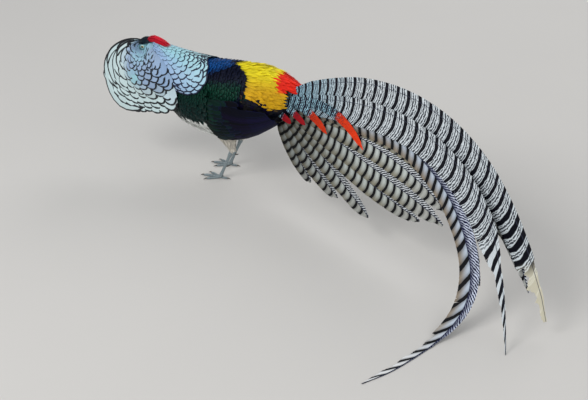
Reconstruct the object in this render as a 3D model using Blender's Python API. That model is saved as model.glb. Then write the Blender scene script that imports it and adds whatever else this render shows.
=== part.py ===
"""Male Lady Amherst's pheasant, life size, standing in its sideways courtship display.

Metres, +Z up, floor at z = 0.  The bird faces -X and shows its left flank to -Y.  The body is a set of
lofted sections, each cut flat where the next part meets it with a small gap.  The tail is laid out in its
own leaning plane, where every feather is a ribbon whose heading is a polynomial of the way along it.
"""
import math

import bmesh
import bpy
import numpy as np

# ---------------------------------------------------------------- overall sizes
GAP = 0.0003                     # clearance between neighbouring parts
TRIM_LIFT = 0.0004               # how far a trimming copy stands out from the part it copies
SECTION_SIDES = 24               # points round a body section

# torso sections: x, top, bottom, half width
TORSO_SECTIONS = (
    (-0.124, 0.214, 0.196, 0.008),
    (-0.115, 0.236, 0.172, 0.027),
    (-0.100, 0.253, 0.151, 0.041),
    (-0.075, 0.269, 0.131, 0.053),
    (-0.040, 0.279, 0.114, 0.062),
    (0.000, 0.284, 0.104, 0.067),
    (0.040, 0.286, 0.102, 0.067),
    (0.080, 0.286, 0.110, 0.063),
    (0.120, 0.285, 0.129, 0.056),
    (0.150, 0.278, 0.150, 0.048),
    (0.180, 0.262, 0.172, 0.037),
    (0.205, 0.245, 0.192, 0.024),
)
TORSO_RINGS = 20
RUMP_X = 0.076                   # the yellow rump starts here

# neck
NECK_FRONT = (-0.1500, 0.0, 0.2890)
NECK_BACK = (-0.0550, 0.0, 0.2320)
NECK_RADII = (0.0195, 0.0225, 0.0280, 0.0360, 0.0440)
NECK_OVERRUN = 0.15              # the uncut neck runs this share past both ends
NECK_RINGS = 12
NECK_SEAT_POINT = (-0.0750, 0.0, 0.2520)
NECK_SEAT_NORMAL = (0.60, 0.0, -0.80)

# head: x from the centre, height of the axis, half height, half width
HEAD_CENTRE = (-0.163, 0.0, 0.2970)
HEAD_SECTIONS = (
    (-0.0275, -0.0040, 0.0055, 0.0050),
    (-0.0220, -0.0015, 0.0105, 0.0092),
    (-0.0130, 0.0010, 0.0170, 0.0150),
    (-0.0030, 0.0020, 0.0205, 0.0190),
    (0.0070, 0.0005, 0.0210, 0.0195),
    (0.0150, -0.0040, 0.0208, 0.0194),
    (0.0260, -0.0120, 0.0205, 0.0192),
)
HEAD_RINGS = 13
HEAD_SIDES = 20
NECK_CUT_X = -0.1415             # the head ends and the neck starts here
EYE_X = -0.1675
EYE_Y = 0.0146
EYE_Z = 0.3030
EYE_RADIUS = 0.0052
LID_RADIUS = 0.0053
LID_THICKNESS = 0.0011

# bill
BILL_BASE_X = -0.1885
BILL_LENGTH = 0.0245
BILL_MOUTH_Z = 0.2925
BILL_HALF_WIDTH = 0.0047
BILL_UPPER_DEPTH = 0.0052
BILL_LOWER_DEPTH = 0.0036
BILL_DROP = 0.0065
GAPE_LENGTH = 0.0120
GAPE_HEIGHT = 0.0006
GAPE_DROP = 0.0020               # the corner of the mouth lies this much lower
NOSTRIL_RADIUS = 0.0010
NOSTRIL = (-0.0050, 0.0040, 0.0030)          # from the bill's base at the line of the mouth

# crest: x and height along its curve, then share along, depth and height of its base
CREST_PATH = ((-0.172, 0.3170), (-0.150, 0.3225), (-0.125, 0.3165), (-0.103, 0.3045))
CREST_BASE = ((0.0, 0.6, 0.0031), (0.08, 0.85, 0.0044), (0.20, 1.0, 0.0053), (0.34, 1.0, 0.0044),
              (0.42, 0.8, 0.0028))
CREST_DEPTH = -0.006
CREST_PLUMES = 9
CREST_TIERS = 3
CREST_HALF_SPREAD = 0.0105
CREST_HALF_WIDTH = 0.0020
CREST_OUTLINE = (0.7, 1.0, 1.0, 0.8, 0.3)
CREST_THICKNESS = 0.0009

# cape over the nape: x, top, bottom, half width of the surface it lies on
NAPE_SECTIONS = (
    (-0.130, 0.3005, 0.244, 0.0330),
    (-0.105, 0.2935, 0.220, 0.0420),
    (-0.080, 0.2895, 0.180, 0.0545),
    (-0.050, 0.2877, 0.130, 0.0640),
    (-0.015, 0.2872, 0.112, 0.0700),
    (0.025, 0.2890, 0.106, 0.0715),
)
NAPE_FRONT_X = -0.122
NAPE_BACK_X = -0.060
NAPE_FIRST_ANGLE = 4.0           # from one flank over the back to the other
NAPE_DEPTH = -0.010
NAPE_FRONT_COVER = 0.0096        # thickness of the base in front
NAPE_BACK_COVER = 0.0024         # and behind
NAPE_UNDER_CREST = 0.0066        # how much thinner it is below the crest

# fan of the cape on the near side: centre, sheet slope and curve, reach against angle in degrees
FAN_X = -0.150
FAN_Z = 0.264
FAN_OFFSET = 0.048
FAN_SLOPE = 0.20
FAN_CURVE = 0.50
FAN_REACH = (
    (90, 0.074), (126, 0.074), (154, 0.085), (172, 0.099), (191, 0.115), (208, 0.126),
    (223, 0.139), (237, 0.143), (250, 0.131), (265, 0.117), (290, 0.111), (325, 0.098),
)
FAN_FIRST_ANGLE = 118.0
FAN_LAST_ANGLE = 322.0
FAN_ROOT_ANGLE = 150.0           # the topmost feathers' roots keep below the bill
DISH_X = 0.005                   # centre of the fan's base from the fan's centre
DISH_Z = -0.016
DISH_HALF_X = 0.046
DISH_HALF_Z = 0.043
FAN_DOME = (                     # share of the base's outline and height above the sheet, top to stalk
    (0.12, 0.0112), (0.45, 0.0100), (0.75, 0.0068), (1.00, 0.0018),
    (1.00, 0.0000), (0.80, -0.0050), (0.58, -0.0200), (0.50, -0.0400),
)
FAN_DOME_SIDES = 18
FAN_CLEARANCE = 0.0009           # between the fan's base and the nape's

# tail frame
TAIL_ROOT = (0.139, 0.0, 0.210)
TAIL_YAW = 30.0                  # degrees the tail swings towards the near side
TAIL_LEAN = 0.5                  # how far the tail plane leans back, run over rise
TAIL_SEAT = 0.020                # from the tail root to the flat end of the rump
TAIL_CORE = 0.028                # depth of the blocks that hold the tail feathers
VANE_THICKNESS = 0.0009
TIP_SHARE = 0.8                  # thickness at a feather's tip over that

# legs
LEG_Y = 0.033
THIGH_TOP = (0.028, 0.150)
THIGH_JOINT = (0.052, 0.080)
THIGH_ROWS = (                   # share of the way down, half length, half width
    (0.0, 0.0260, 0.0160), (0.25, 0.0260, 0.0165), (0.5, 0.0205, 0.0145),
    (0.75, 0.0135, 0.0105), (0.92, 0.0082, 0.0074), (1.0, 0.0060, 0.0058),
)
THIGH_SIDES = 16
THIGH_CUT = 0.0010               # the thigh ends this far above the joint
FOOT_X = 0.022
ANKLE_Z = 0.0085
SHANK_RADII = (0.0050, 0.0051, 0.0037, 0.0033, 0.0033, 0.0036, 0.0044)
SHANK_SIDES = 8
TOES = (                         # turn in degrees, length, root radius
    (0.0, 0.043, 0.0034),
    (27.0, 0.034, 0.0031),
    (-27.0, 0.034, 0.0031),
    (180.0, 0.016, 0.0026),
)
TOE_ROWS = (                     # share along, radius and height of the axis over the root radius
    (-0.10, 0.95, 1.90), (0.18, 1.00, 1.10), (0.42, 0.86, 0.70),
    (0.66, 0.92, 0.73), (0.88, 0.80, 0.63), (1.00, 0.55, 0.44),
)
TOE_SIDES = 6
CLAW_LENGTH = 0.008
CLAW_ROWS = (                    # share along, height, radius
    (-0.35, 0.0022, 0.0011), (0.15, 0.0026, 0.0014), (0.60, 0.0018, 0.0010), (1.00, 0.0007, 0.0003),
)
SPUR_ROWS = (                    # backwards, inwards and up from the shank, radius
    (0.0005, 0.0010, 0.0000, 0.0018), (0.0070, 0.0030, 0.0010, 0.0013), (0.0130, 0.0050, 0.0040, 0.0004),
)
SPUR_RING = 4                    # the shank section the spur grows from


# ---------------------------------------------------------------- small tools
def unit(vector):
    vector = np.asarray(vector, float)
    return vector / np.linalg.norm(vector)


def smooth_rows(rows, xs):
    """Cubic curves through the rows of a table, read at xs; one column of the result per table column."""
    rows = np.asarray(rows, float)
    x = rows[:, 0]
    slopes = np.gradient(rows[:, 1:], x, axis=0)
    xs = np.clip(np.atleast_1d(np.asarray(xs, float)), x[0], x[-1])
    i = np.clip(np.searchsorted(x, xs) - 1, 0, len(x) - 2)
    h = (x[i + 1] - x[i])[:, None]
    t = ((xs - x[i]) / (x[i + 1] - x[i]))[:, None]
    a, b = rows[i, 1:], rows[i + 1, 1:]
    return ((2 * t**3 - 3 * t**2 + 1) * a + (t**3 - 2 * t**2 + t) * h * slopes[i]
            + (3 * t**2 - 2 * t**3) * b + (t**3 - t**2) * h * slopes[i + 1])


def clear_scene():
    for item in list(bpy.data.objects):
        bpy.data.objects.remove(item, do_unlink=True)


def new_collection(name):
    group = bpy.data.collections.new(name)
    bpy.context.scene.collection.children.link(group)
    return group


def solid(name, verts, faces, group):
    """A closed mesh object with its faces turned outwards."""
    mesh = bpy.data.meshes.new(name)
    mesh.from_pydata([tuple(map(float, v)) for v in verts], [], faces)
    bm = bmesh.new()
    bm.from_mesh(mesh)
    bmesh.ops.remove_doubles(bm, verts=bm.verts, dist=1e-7)
    bmesh.ops.recalc_face_normals(bm, faces=bm.faces)
    bm.to_mesh(mesh)
    bm.free()
    item = bpy.data.objects.new(name, mesh)
    group.objects.link(item)
    return item


def loft(name, rings, group):
    """A closed skin over a row of rings with the same number of points, capped with fans."""
    rings = np.asarray(rings, float)
    count, sides = rings.shape[:2]
    verts = list(rings.reshape(-1, 3)) + [rings[0].mean(0), rings[-1].mean(0)]
    faces = []
    for i in range(count - 1):
        for j in range(sides):
            k = (j + 1) % sides
            faces.append((i * sides + j, i * sides + k, (i + 1) * sides + k, (i + 1) * sides + j))
    last = (count - 1) * sides
    for j in range(sides):
        k = (j + 1) % sides
        faces.append((count * sides, k, j))
        faces.append((count * sides + 1, last + j, last + k))
    return solid(name, verts, faces, group)


def tube(name, path, radii, group, sides=12, floor=None):
    """A round tube along a path; with a floor, nothing of it reaches below that height."""
    path = np.asarray(path, float)
    ways = np.gradient(path, axis=0)
    rings = []
    for point, way, radius in zip(path, ways, radii):
        way = unit(way)
        helper = (0.0, 0.0, 1.0) if abs(way[2]) < 0.95 else (1.0, 0.0, 0.0)
        side = unit(np.cross(way, helper))
        lift = np.cross(side, way)
        turn = np.linspace(0, 2 * math.pi, sides, endpoint=False)[:, None]
        rings.append(point + radius * (np.cos(turn) * side + np.sin(turn) * lift))
    rings = np.array(rings)
    if floor is not None:
        rings[:, :, 2] = np.maximum(rings[:, :, 2], floor)
    return loft(name, rings, group)


def slab(name, centres, ways, faces_up, left, right, thickness, group, floor=None):
    """A thin feather: a strip of four-cornered sections, split into triangles alike on both faces."""
    centres, ways, faces_up = (np.asarray(a, float) for a in (centres, ways, faces_up))
    verts = []
    for point, way, up, l, r, t in zip(centres, ways, faces_up, left, right, thickness):
        side = unit(np.cross(unit(way), unit(up)))
        up = unit(np.cross(side, way))
        half = 0.5 * t * up
        verts += [point - l * side + half, point + r * side + half,
                  point + r * side - half, point - l * side - half]
    verts = np.array(verts)
    if floor is not None:
        verts[:, 2] = np.maximum(verts[:, 2], floor)
        upper = np.arange(len(verts)) % 4 < 2
        low = upper & (verts[:, 2] < floor + thickness[-1])
        verts[low, 2] = floor + thickness[-1]
    tris = []
    count = len(centres)
    for i in range(count - 1):
        a, b, c, d = (4 * i + k for k in range(4))
        e, f, g, h = (4 * i + 4 + k for k in range(4))
        tris += [(a, b, f), (a, f, e), (b, c, g), (b, g, f), (c, d, g), (d, h, g), (d, a, e), (d, e, h)]
    z = 4 * (count - 1)
    tris += [(0, 3, 2), (0, 2, 1), (z, z + 1, z + 2), (z, z + 2, z + 3)]
    return solid(name, verts, tris, group)


def settle(item):
    """Applies an object's modifiers and keeps its largest closed surface."""
    depsgraph = bpy.context.evaluated_depsgraph_get()
    mesh = bpy.data.meshes.new_from_object(item.evaluated_get(depsgraph))
    item.modifiers.clear()
    item.data = mesh
    bm = bmesh.new()
    bm.from_mesh(mesh)
    bmesh.ops.remove_doubles(bm, verts=bm.verts, dist=2e-6)
    bmesh.ops.dissolve_degenerate(bm, edges=bm.edges, dist=1e-6)
    bm.verts.index_update()
    seen = set()
    shells = []
    for seed in bm.verts:
        if seed.index in seen:
            continue
        stack, shell = [seed], []
        seen.add(seed.index)
        while stack:
            vert = stack.pop()
            shell.append(vert)
            for edge in vert.link_edges:
                other = edge.other_vert(vert)
                if other.index not in seen:
                    seen.add(other.index)
                    stack.append(other)
        shells.append(shell)
    shells.sort(key=len, reverse=True)
    for shell in shells[1:]:
        bmesh.ops.delete(bm, geom=shell, context="VERTS")
    bm.to_mesh(mesh)
    bm.free()


def combine(item, tools, operation):
    """One Boolean of an object with a list of tool objects, applied, with the tools removed after."""
    group = new_collection("tools")
    for tool in tools:
        for owner in list(tool.users_collection):
            owner.objects.unlink(tool)
        group.objects.link(tool)
    step = item.modifiers.new("join", "BOOLEAN")
    step.operation = operation
    step.operand_type = "COLLECTION"
    step.collection = group
    step.solver = "MANIFOLD"
    bpy.context.view_layer.update()
    settle(item)
    for tool in list(group.objects):
        bpy.data.objects.remove(tool, do_unlink=True)
    bpy.data.collections.remove(group)
    return item


def cut(item, point, normal):
    """Cuts an object flat and closes it, keeping what lies on the normal's side."""
    bm = bmesh.new()
    bm.from_mesh(item.data)
    geom = list(bm.verts) + list(bm.edges) + list(bm.faces)
    bmesh.ops.bisect_plane(bm, geom=geom, plane_co=point, plane_no=normal, clear_inner=True)
    rim = [edge for edge in bm.edges if len(edge.link_faces) == 1]
    bmesh.ops.holes_fill(bm, edges=rim, sides=0)
    bmesh.ops.recalc_face_normals(bm, faces=bm.faces)
    bm.to_mesh(item.data)
    bm.free()
    return item


def paint(item, rgb, roughness, metallic=0.0):
    """Gives an object a material of its own."""
    finish = bpy.data.materials.new(item.name)
    finish.use_nodes = True
    shader = finish.node_tree.nodes["Principled BSDF"]
    shader.inputs["Base Color"].default_value = (*rgb, 1.0)
    shader.inputs["Roughness"].default_value = roughness
    shader.inputs["Metallic"].default_value = metallic
    item.data.materials.clear()
    item.data.materials.append(finish)
    return item


# ---------------------------------------------------------------- body surfaces
def section_point(sections, x, angle, lift=0.0):
    """A point of a lofted surface: angle 0 is the near side, 90 the top, 180 the far side."""
    top, bottom, half = smooth_rows(sections, x)[0]
    turn = math.radians(angle)
    return np.array([x, -(half + lift) * math.cos(turn),
                     (top + bottom) / 2 + ((top - bottom) / 2 + lift) * math.sin(turn)])


def section_normal(sections, x, angle):
    step = 0.002
    along = section_point(sections, x + step, angle) - section_point(sections, x - step, angle)
    around = section_point(sections, x, angle + 1.0) - section_point(sections, x, angle - 1.0)
    return unit(np.cross(around, along))


def torso_loft(name, lift, group):
    first, last = TORSO_SECTIONS[0][0], TORSO_SECTIONS[-1][0]
    spread = 0.5 - 0.5 * np.cos(np.linspace(0.0, 1.0, TORSO_RINGS) * math.pi)
    angles = np.linspace(0, 360, SECTION_SIDES, endpoint=False)
    rings = []
    for x in first + (last - first) * (0.5 * spread + 0.5 * np.linspace(0.0, 1.0, TORSO_RINGS)):
        rings.append([section_point(TORSO_SECTIONS, x, a, lift) for a in angles])
    rings = np.array(rings)
    rings[0, :, 0] -= lift
    rings[-1, :, 0] += lift
    return loft(name, rings, group)


def tail_axes():
    """Run along the tail, rise across it in its plane, and face out of it towards the near side."""
    yaw = math.radians(TAIL_YAW)
    run = np.array([math.cos(yaw), -math.sin(yaw), 0.0])
    face = -unit((math.tan(yaw), 1.0, -TAIL_LEAN))
    rise = np.cross(face, run)
    return run, rise * math.copysign(1.0, rise[2]), face


def tail_point(run_by, rise_by, face_by):
    run, rise, face = tail_axes()
    return np.array(TAIL_ROOT) + run_by * run + rise_by * rise + face_by * face


def build_torso(group):
    torso = cut(torso_loft("torso", 0.0, group), (RUMP_X, 0, 0), (-1, 0, 0))
    cut(torso, NECK_SEAT_POINT, NECK_SEAT_NORMAL)
    return paint(torso, (0.02, 0.09, 0.07), 0.35, 0.2)


def rump_base(group):
    rump = cut(torso_loft("rump", 0.0, group), (RUMP_X + GAP, 0, 0), (1, 0, 0))
    run = tail_axes()[0]
    return cut(rump, tuple(tail_point(TAIL_SEAT, 0, 0)), tuple(-run))


def neck_loft(name, lift, group):
    front, back = np.array(NECK_FRONT), np.array(NECK_BACK)
    way = unit(back - front)
    rise = np.array([-way[2], 0.0, way[0]])
    ts = np.linspace(-NECK_OVERRUN, 1.0 + NECK_OVERRUN, NECK_RINGS)
    radii = np.interp(ts, np.linspace(0, 1, len(NECK_RADII)), NECK_RADII) + lift
    turn = np.linspace(0, 2 * math.pi, SECTION_SIDES, endpoint=False)[:, None]
    rings = [front + t * (back - front) + r * (np.cos(turn) * np.array([0, -1.0, 0]) + np.sin(turn) * rise)
             for t, r in zip(ts, radii)]
    return loft(name, rings, group)


def build_neck(group):
    neck = cut(neck_loft("neck", 0.0, group), (NECK_CUT_X + GAP, 0, 0), (1, 0, 0))
    normal = unit(NECK_SEAT_NORMAL)
    cut(neck, tuple(np.array(NECK_SEAT_POINT) - GAP * normal), tuple(-normal))
    return paint(neck, (0.05, 0.06, 0.10), 0.5)


# ---------------------------------------------------------------- head
def head_loft(name, lift, group):
    rows = np.array(HEAD_SECTIONS)
    xs = np.linspace(rows[0, 0], rows[-1, 0], HEAD_RINGS)
    turn = np.linspace(0, 2 * math.pi, HEAD_SIDES, endpoint=False)
    rings = []
    for x, (axis, tall, wide) in zip(xs, smooth_rows(rows, xs)):
        ring = np.zeros((HEAD_SIDES, 3))
        ring[:, 0] = HEAD_CENTRE[0] + x
        ring[:, 1] = -(wide + lift) * np.cos(turn)
        ring[:, 2] = HEAD_CENTRE[2] + axis + (tall + lift) * np.sin(turn)
        rings.append(ring)
    rings = np.array(rings)
    rings[0, :, 0] -= lift
    rings[-1, :, 0] += lift
    return loft(name, rings, group)


def ball(name, centre, radius, group, rows=8, sides=14):
    """A globe of rings along its sideways axis."""
    rings = []
    for a in np.linspace(0, math.pi, rows + 1)[1:-1]:
        turn = np.linspace(0, 2 * math.pi, sides, endpoint=False)
        rings.append(np.stack([centre[0] + radius * math.sin(a) * np.cos(turn),
                               np.full(sides, centre[1] - radius * math.cos(a)),
                               centre[2] + radius * math.sin(a) * np.sin(turn)], 1))
    return loft(name, rings, group)


def lid_ring(name, side, group):
    """A low ring round the eye opening, lying on the face."""
    centre = np.array([EYE_X, side * (EYE_Y + 0.0030), EYE_Z])
    verts, faces = [], []
    around, section = 12, 5
    for i in range(around):
        a = 2 * math.pi * i / around
        out = np.array([math.cos(a), 0, 0.86 * math.sin(a)])
        for j in range(section):
            b = 2 * math.pi * j / section
            ring = centre + out * (LID_RADIUS + LID_THICKNESS * math.cos(b))
            verts.append(ring + np.array([0, side * 1.6 * LID_THICKNESS * math.sin(b), 0]))
    for i in range(around):
        for j in range(section):
            k, m = (i + 1) % around, (j + 1) % section
            faces.append((i * section + j, k * section + j, k * section + m, i * section + m))
    return solid(name, verts, faces, group)


def build_head(group):
    head = cut(head_loft("head", 0.0, group), (NECK_CUT_X, 0, 0), (-1, 0, 0))
    cut(head, (BILL_BASE_X + GAP, 0, 0), (1, 0, 0))
    combine(head, [lid_ring("lid", side, group) for side in (-1, 1)], "UNION")
    sockets = [ball("socket", (EYE_X, side * EYE_Y, EYE_Z), EYE_RADIUS + GAP, group) for side in (-1, 1)]
    x0, x1 = BILL_BASE_X - 0.002, BILL_BASE_X + GAPE_LENGTH
    gape = []
    for x, z in ((x0, BILL_MOUTH_Z), (x1, BILL_MOUTH_Z - GAPE_DROP)):
        h = GAPE_HEIGHT / 2
        gape.append([(x, -0.03, z - h), (x, 0.03, z - h), (x, 0.03, z + h), (x, -0.03, z + h)])
    groove = loft("groove", gape, group)
    combine(head, sockets + [groove], "DIFFERENCE")
    return paint(head, (0.03, 0.10, 0.09), 0.45)


def build_eye(name, side, group):
    return paint(ball(name, (EYE_X, side * EYE_Y, EYE_Z), EYE_RADIUS, group), (0.75, 0.68, 0.45), 0.15)


def build_bill(name, up, group):
    """One half of the bill: half-round sections that shrink to the tip and bend down."""
    rings = []
    depth = BILL_UPPER_DEPTH if up > 0 else BILL_LOWER_DEPTH
    reach = BILL_LENGTH if up > 0 else 0.86 * BILL_LENGTH
    for t in np.linspace(0, 0.97, 9):
        size = (1.0 - t) ** 0.55
        x = BILL_BASE_X - reach * t
        z = BILL_MOUTH_Z - BILL_DROP * (reach * t / BILL_LENGTH) ** 2
        ring = []
        for a in np.linspace(0, math.pi, 9):
            ring.append((x, -BILL_HALF_WIDTH * size * math.cos(a),
                         z + up * (GAP / 2 + depth * size * (0.12 + 0.88 * math.sin(a)))))
        for y in (0.7, 0.0, -0.7):
            ring.append((x, BILL_HALF_WIDTH * size * y, z + up * GAP / 2))
        rings.append(ring)
    bill = loft(name, rings, group)
    if up > 0:
        ahead, aside, above = NOSTRIL
        pits = [ball("pit", (BILL_BASE_X + ahead, side * aside, BILL_MOUTH_Z + above), NOSTRIL_RADIUS,
                     group, 6, 8) for side in (-1, 1)]
        combine(bill, pits, "DIFFERENCE")
    return paint(bill, (0.42, 0.44, 0.42), 0.35)


# ---------------------------------------------------------------- cape and crest
FAN_ROWS = (                     # feathers, reach share, root share of the base, lift at tip, half width
    (21, 1.00, 0.82, 0.0012, 0.0112),
    (17, 0.80, 0.70, 0.0036, 0.0107),
    (13, 0.61, 0.56, 0.0060, 0.0100),
    (9, 0.44, 0.42, 0.0084, 0.0092),
)
NAPE_ROWS = (                    # feathers, x of root, x of tip, lift at root, lift at tip, half width
    (10, -0.082, 0.002, 0.0014, 0.0014, 0.0095),
    (9, -0.090, -0.018, 0.0036, 0.0036, 0.0090),
    (8, -0.098, -0.038, 0.0058, 0.0058, 0.0082),
)
NAPE_SIDE_ROW = (4, -0.112, -0.056, 0.0080, 0.0080, 0.0078)   # beside the crest, on each side
NAPE_ROW_ANGLES = (20.0, 160.0)
NAPE_SIDE_ANGLES = (16.0, 56.0)
CAPE_THICKNESS = 0.0007
CAPE_TILT = 5.0                  # degrees each cape feather is turned to lie over the next
FEATHER_OUTLINE = ((0.0, 0.25), (0.50, 0.90), (0.86, 0.92), (1.0, 0.36))


def fan_point(x, z, lift):
    """A point of the fan's sheet, lift away from it towards the near side."""
    dx, dz = x - FAN_X, z - FAN_Z
    y = -(FAN_OFFSET + FAN_SLOPE * dx) + FAN_CURVE * (dx * dx + dz * dz)
    return np.array([x, y, z]) + lift * fan_normal(x, z)


def fan_normal(x, z):
    dx, dz = x - FAN_X, z - FAN_Z
    return unit((-FAN_SLOPE + 2 * FAN_CURVE * dx, -1.0, 2 * FAN_CURVE * dz))


def fan_rim(angle):
    reach = smooth_rows(FAN_REACH, angle)[0][0]
    turn = math.radians(angle)
    return np.array([FAN_X + reach * math.cos(turn), FAN_Z + reach * math.sin(turn)])


def dish_point(angle, share):
    turn = math.radians(angle)
    return np.array([FAN_X + DISH_X + share * DISH_HALF_X * math.cos(turn),
                     FAN_Z + DISH_Z + share * DISH_HALF_Z * math.sin(turn)])


def feather(name, start, end, surface, normal, lifts, half, thickness, tilt, group, outline=FEATHER_OUTLINE):
    """A short feather on a two-parameter surface, from start to end, turned by tilt about its length."""
    start, end = np.asarray(start, float), np.asarray(end, float)
    ts = np.array([t for t, _ in outline])
    centres = []
    ups = []
    for t in ts:
        u, v = start + t * (end - start)
        centres.append(surface(u, v, lifts[0] + t * (lifts[1] - lifts[0])))
        ups.append(normal(u, v))
    centres = np.array(centres)
    ways = np.gradient(centres, axis=0)
    turned = []
    for way, up in zip(ways, ups):
        side = unit(np.cross(unit(way), up))
        angle = math.radians(tilt)
        turned.append(up * math.cos(angle) + side * math.sin(angle))
    widths = [half * w for _, w in outline]
    return slab(name, centres, ways, turned, widths, widths, [thickness] * len(ts), group)


def fan_core(name, grow, group):
    """The base of the fan: a low dome on the sheet with a stalk that reaches into the neck."""
    angles = np.linspace(0, 360, FAN_DOME_SIDES, endpoint=False)
    rings = []
    for share, lift in FAN_DOME:
        rings.append([fan_point(*dish_point(a, share + grow / DISH_HALF_Z), lift + grow) for a in angles])
    return loft(name, rings, group)


def build_cape_fan(group, trims):
    core = fan_core("cape_fan", 0.0, group)
    feathers = []
    for count, share, root_share, lift, half in FAN_ROWS:
        for i in range(count):
            step = (i + 0.5 * (1.0 - share)) / (count - 1)
            angle = min(FAN_FIRST_ANGLE + (FAN_LAST_ANGLE - FAN_FIRST_ANGLE) * step, FAN_LAST_ANGLE)
            root_angle = max(angle, FAN_ROOT_ANGLE + 0.25 * (angle - FAN_FIRST_ANGLE))
            root = dish_point(root_angle, root_share)
            tip = root + share * (fan_rim(angle) - root)
            feathers.append(feather("vane", root, tip, fan_point, fan_normal, (lift, lift), half,
                                    CAPE_THICKNESS, CAPE_TILT, group))
    combine(core, feathers, "UNION")
    combine(core, trims(), "DIFFERENCE")
    return paint(core, (0.80, 0.84, 0.90), 0.55)


def nape_point(x, angle, lift):
    return section_point(NAPE_SECTIONS, x, angle, lift)


def nape_normal(x, angle):
    return section_normal(NAPE_SECTIONS, x, angle)


def patch(name, surface, us, vs, low, high, group):
    """A closed plate between two lifts of a surface, over a grid of its two parameters."""
    n, m = len(us), len(vs)
    grid = [(u, v, i / (n - 1), j / (m - 1)) for i, u in enumerate(us) for j, v in enumerate(vs)]
    verts = [surface(u, v, high(s, t)) for u, v, s, t in grid]
    verts += [surface(u, v, low(s, t)) for u, v, s, t in grid]
    base = n * m
    faces = []
    for i in range(n - 1):
        for j in range(m - 1):
            a, b, c, d = i * m + j, i * m + j + 1, (i + 1) * m + j + 1, (i + 1) * m + j
            faces += [(a, b, c, d), (base + d, base + c, base + b, base + a)]
    rim = [(i, 0) for i in range(n)] + [(n - 1, j) for j in range(1, m)]
    rim += [(i, m - 1) for i in range(n - 2, -1, -1)] + [(0, j) for j in range(m - 2, 0, -1)]
    for k, (i, j) in enumerate(rim):
        p, q = rim[(k + 1) % len(rim)]
        faces.append((i * m + j, base + i * m + j, base + p * m + q, p * m + q))
    return solid(name, verts, faces, group)


def nape_cover(s, t):
    """Thickness of the nape's base: thinner behind, and thin in front under the crest."""
    under_crest = NAPE_UNDER_CREST * math.sin(math.pi * t)**4
    return NAPE_FRONT_COVER + (NAPE_BACK_COVER - NAPE_FRONT_COVER) * s - under_crest * (1.0 - s)


def nape_row(row, angles, group):
    """One row of cape feathers over the back, a feather at each angle."""
    root_x, tip_x, root_lift, tip_lift, half = row
    return [feather("vane", (root_x, angle), (tip_x, angle), nape_point, nape_normal,
                    (root_lift, tip_lift), half, CAPE_THICKNESS, CAPE_TILT, group) for angle in angles]


def build_cape_nape(group, trims):
    along = np.linspace(NAPE_FRONT_X, NAPE_BACK_X, 5)
    around = np.linspace(NAPE_FIRST_ANGLE, 180 - NAPE_FIRST_ANGLE, 13)
    core = patch("cape_nape", nape_point, along, around, lambda s, t: NAPE_DEPTH, nape_cover, group)
    low, high = NAPE_ROW_ANGLES
    feathers = []
    for count, *row in NAPE_ROWS:
        feathers += nape_row(row, np.linspace(low, high, count), group)
    count, *row = NAPE_SIDE_ROW
    near = np.linspace(*NAPE_SIDE_ANGLES, count)
    feathers += nape_row(row, np.concatenate([near, 180 - near]), group)
    combine(core, feathers, "UNION")
    combine(core, trims(), "DIFFERENCE")
    return paint(core, (0.72, 0.78, 0.88), 0.55)


def crest_line(t, y, lift):
    """The crest's curve over the crown and down the nape, read at t along it."""
    rows = [(k / (len(CREST_PATH) - 1), x, z) for k, (x, z) in enumerate(CREST_PATH)]
    x, z = smooth_rows(rows, t)[0]
    return np.array([x, y, z + lift])


def crest_base(group):
    """The crest's base: a low ridge over the crown that the plumes grow from."""
    corners = (-1, -0.5, 0, 0.5, 1, 1, 0, -1)
    rings = []
    for t, wide, high in CREST_BASE:
        half = CREST_HALF_SPREAD * wide
        upper = [crest_line(t, y * half, high * (1.0 - 0.75 * y * y)) for y in corners[:5]]
        rings.append(upper + [crest_line(t, y * half, CREST_DEPTH) for y in corners[5:]])
    return loft("crest", rings, group)


def build_crest(group, trims):
    core = crest_base(group)
    plumes = []
    for i in range(CREST_PLUMES):
        tier = i % CREST_TIERS
        across = 2 * i / (CREST_PLUMES - 1) - 1
        root = 0.14 + 0.04 * tier
        tip = 1.0 - 0.13 * abs(across) - 0.05 * tier
        ts = np.linspace(root, tip, len(CREST_OUTLINE))
        lift = 0.0005 + 0.0017 * tier
        y = 0.80 * CREST_HALF_SPREAD * across
        centres = np.array([crest_line(t, y * (1.0 - 0.45 * t), lift * (1.0 - 0.2 * t)) for t in ts])
        half = [CREST_HALF_WIDTH * w for w in CREST_OUTLINE]
        plumes.append(slab("vane", centres, np.gradient(centres, axis=0), [(0, 0, 1.0)] * len(ts),
                           half, half, [CREST_THICKNESS] * len(ts), group))
    combine(core, plumes, "UNION")
    combine(core, trims(), "DIFFERENCE")
    return paint(core, (0.62, 0.02, 0.03), 0.6)


# ---------------------------------------------------------------- rump plumes and wings
RUMP_ROWS = (                    # plumes, first and last angle, x of root, x of tip, lift at tip, half width
    (11, 12, 168, 0.083, 0.124, 0.0024, 0.0062),
    (10, 8, 172, 0.104, 0.150, 0.0024, 0.0060),
    (9, 4, 176, 0.128, 0.172, 0.0026, 0.0056),
    (6, 78, 124, 0.140, 0.208, 0.0046, 0.0052),
)
PLUME_OUTLINE = ((0.0, 0.6), (0.55, 1.0), (1.0, 0.14))
PLUME_THICKNESS = 0.0007
PLUME_ROOT = -0.0015             # depth of a plume's root below the skin
PLUME_DROOP = 9.0                # degrees a plume's tip hangs lower than its root on the flank
PLUME_TILT = 4.0


def body_point(x, angle, lift):
    return section_point(TORSO_SECTIONS, x, angle, lift)


def body_normal(x, angle):
    return section_normal(TORSO_SECTIONS, x, angle)


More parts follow.
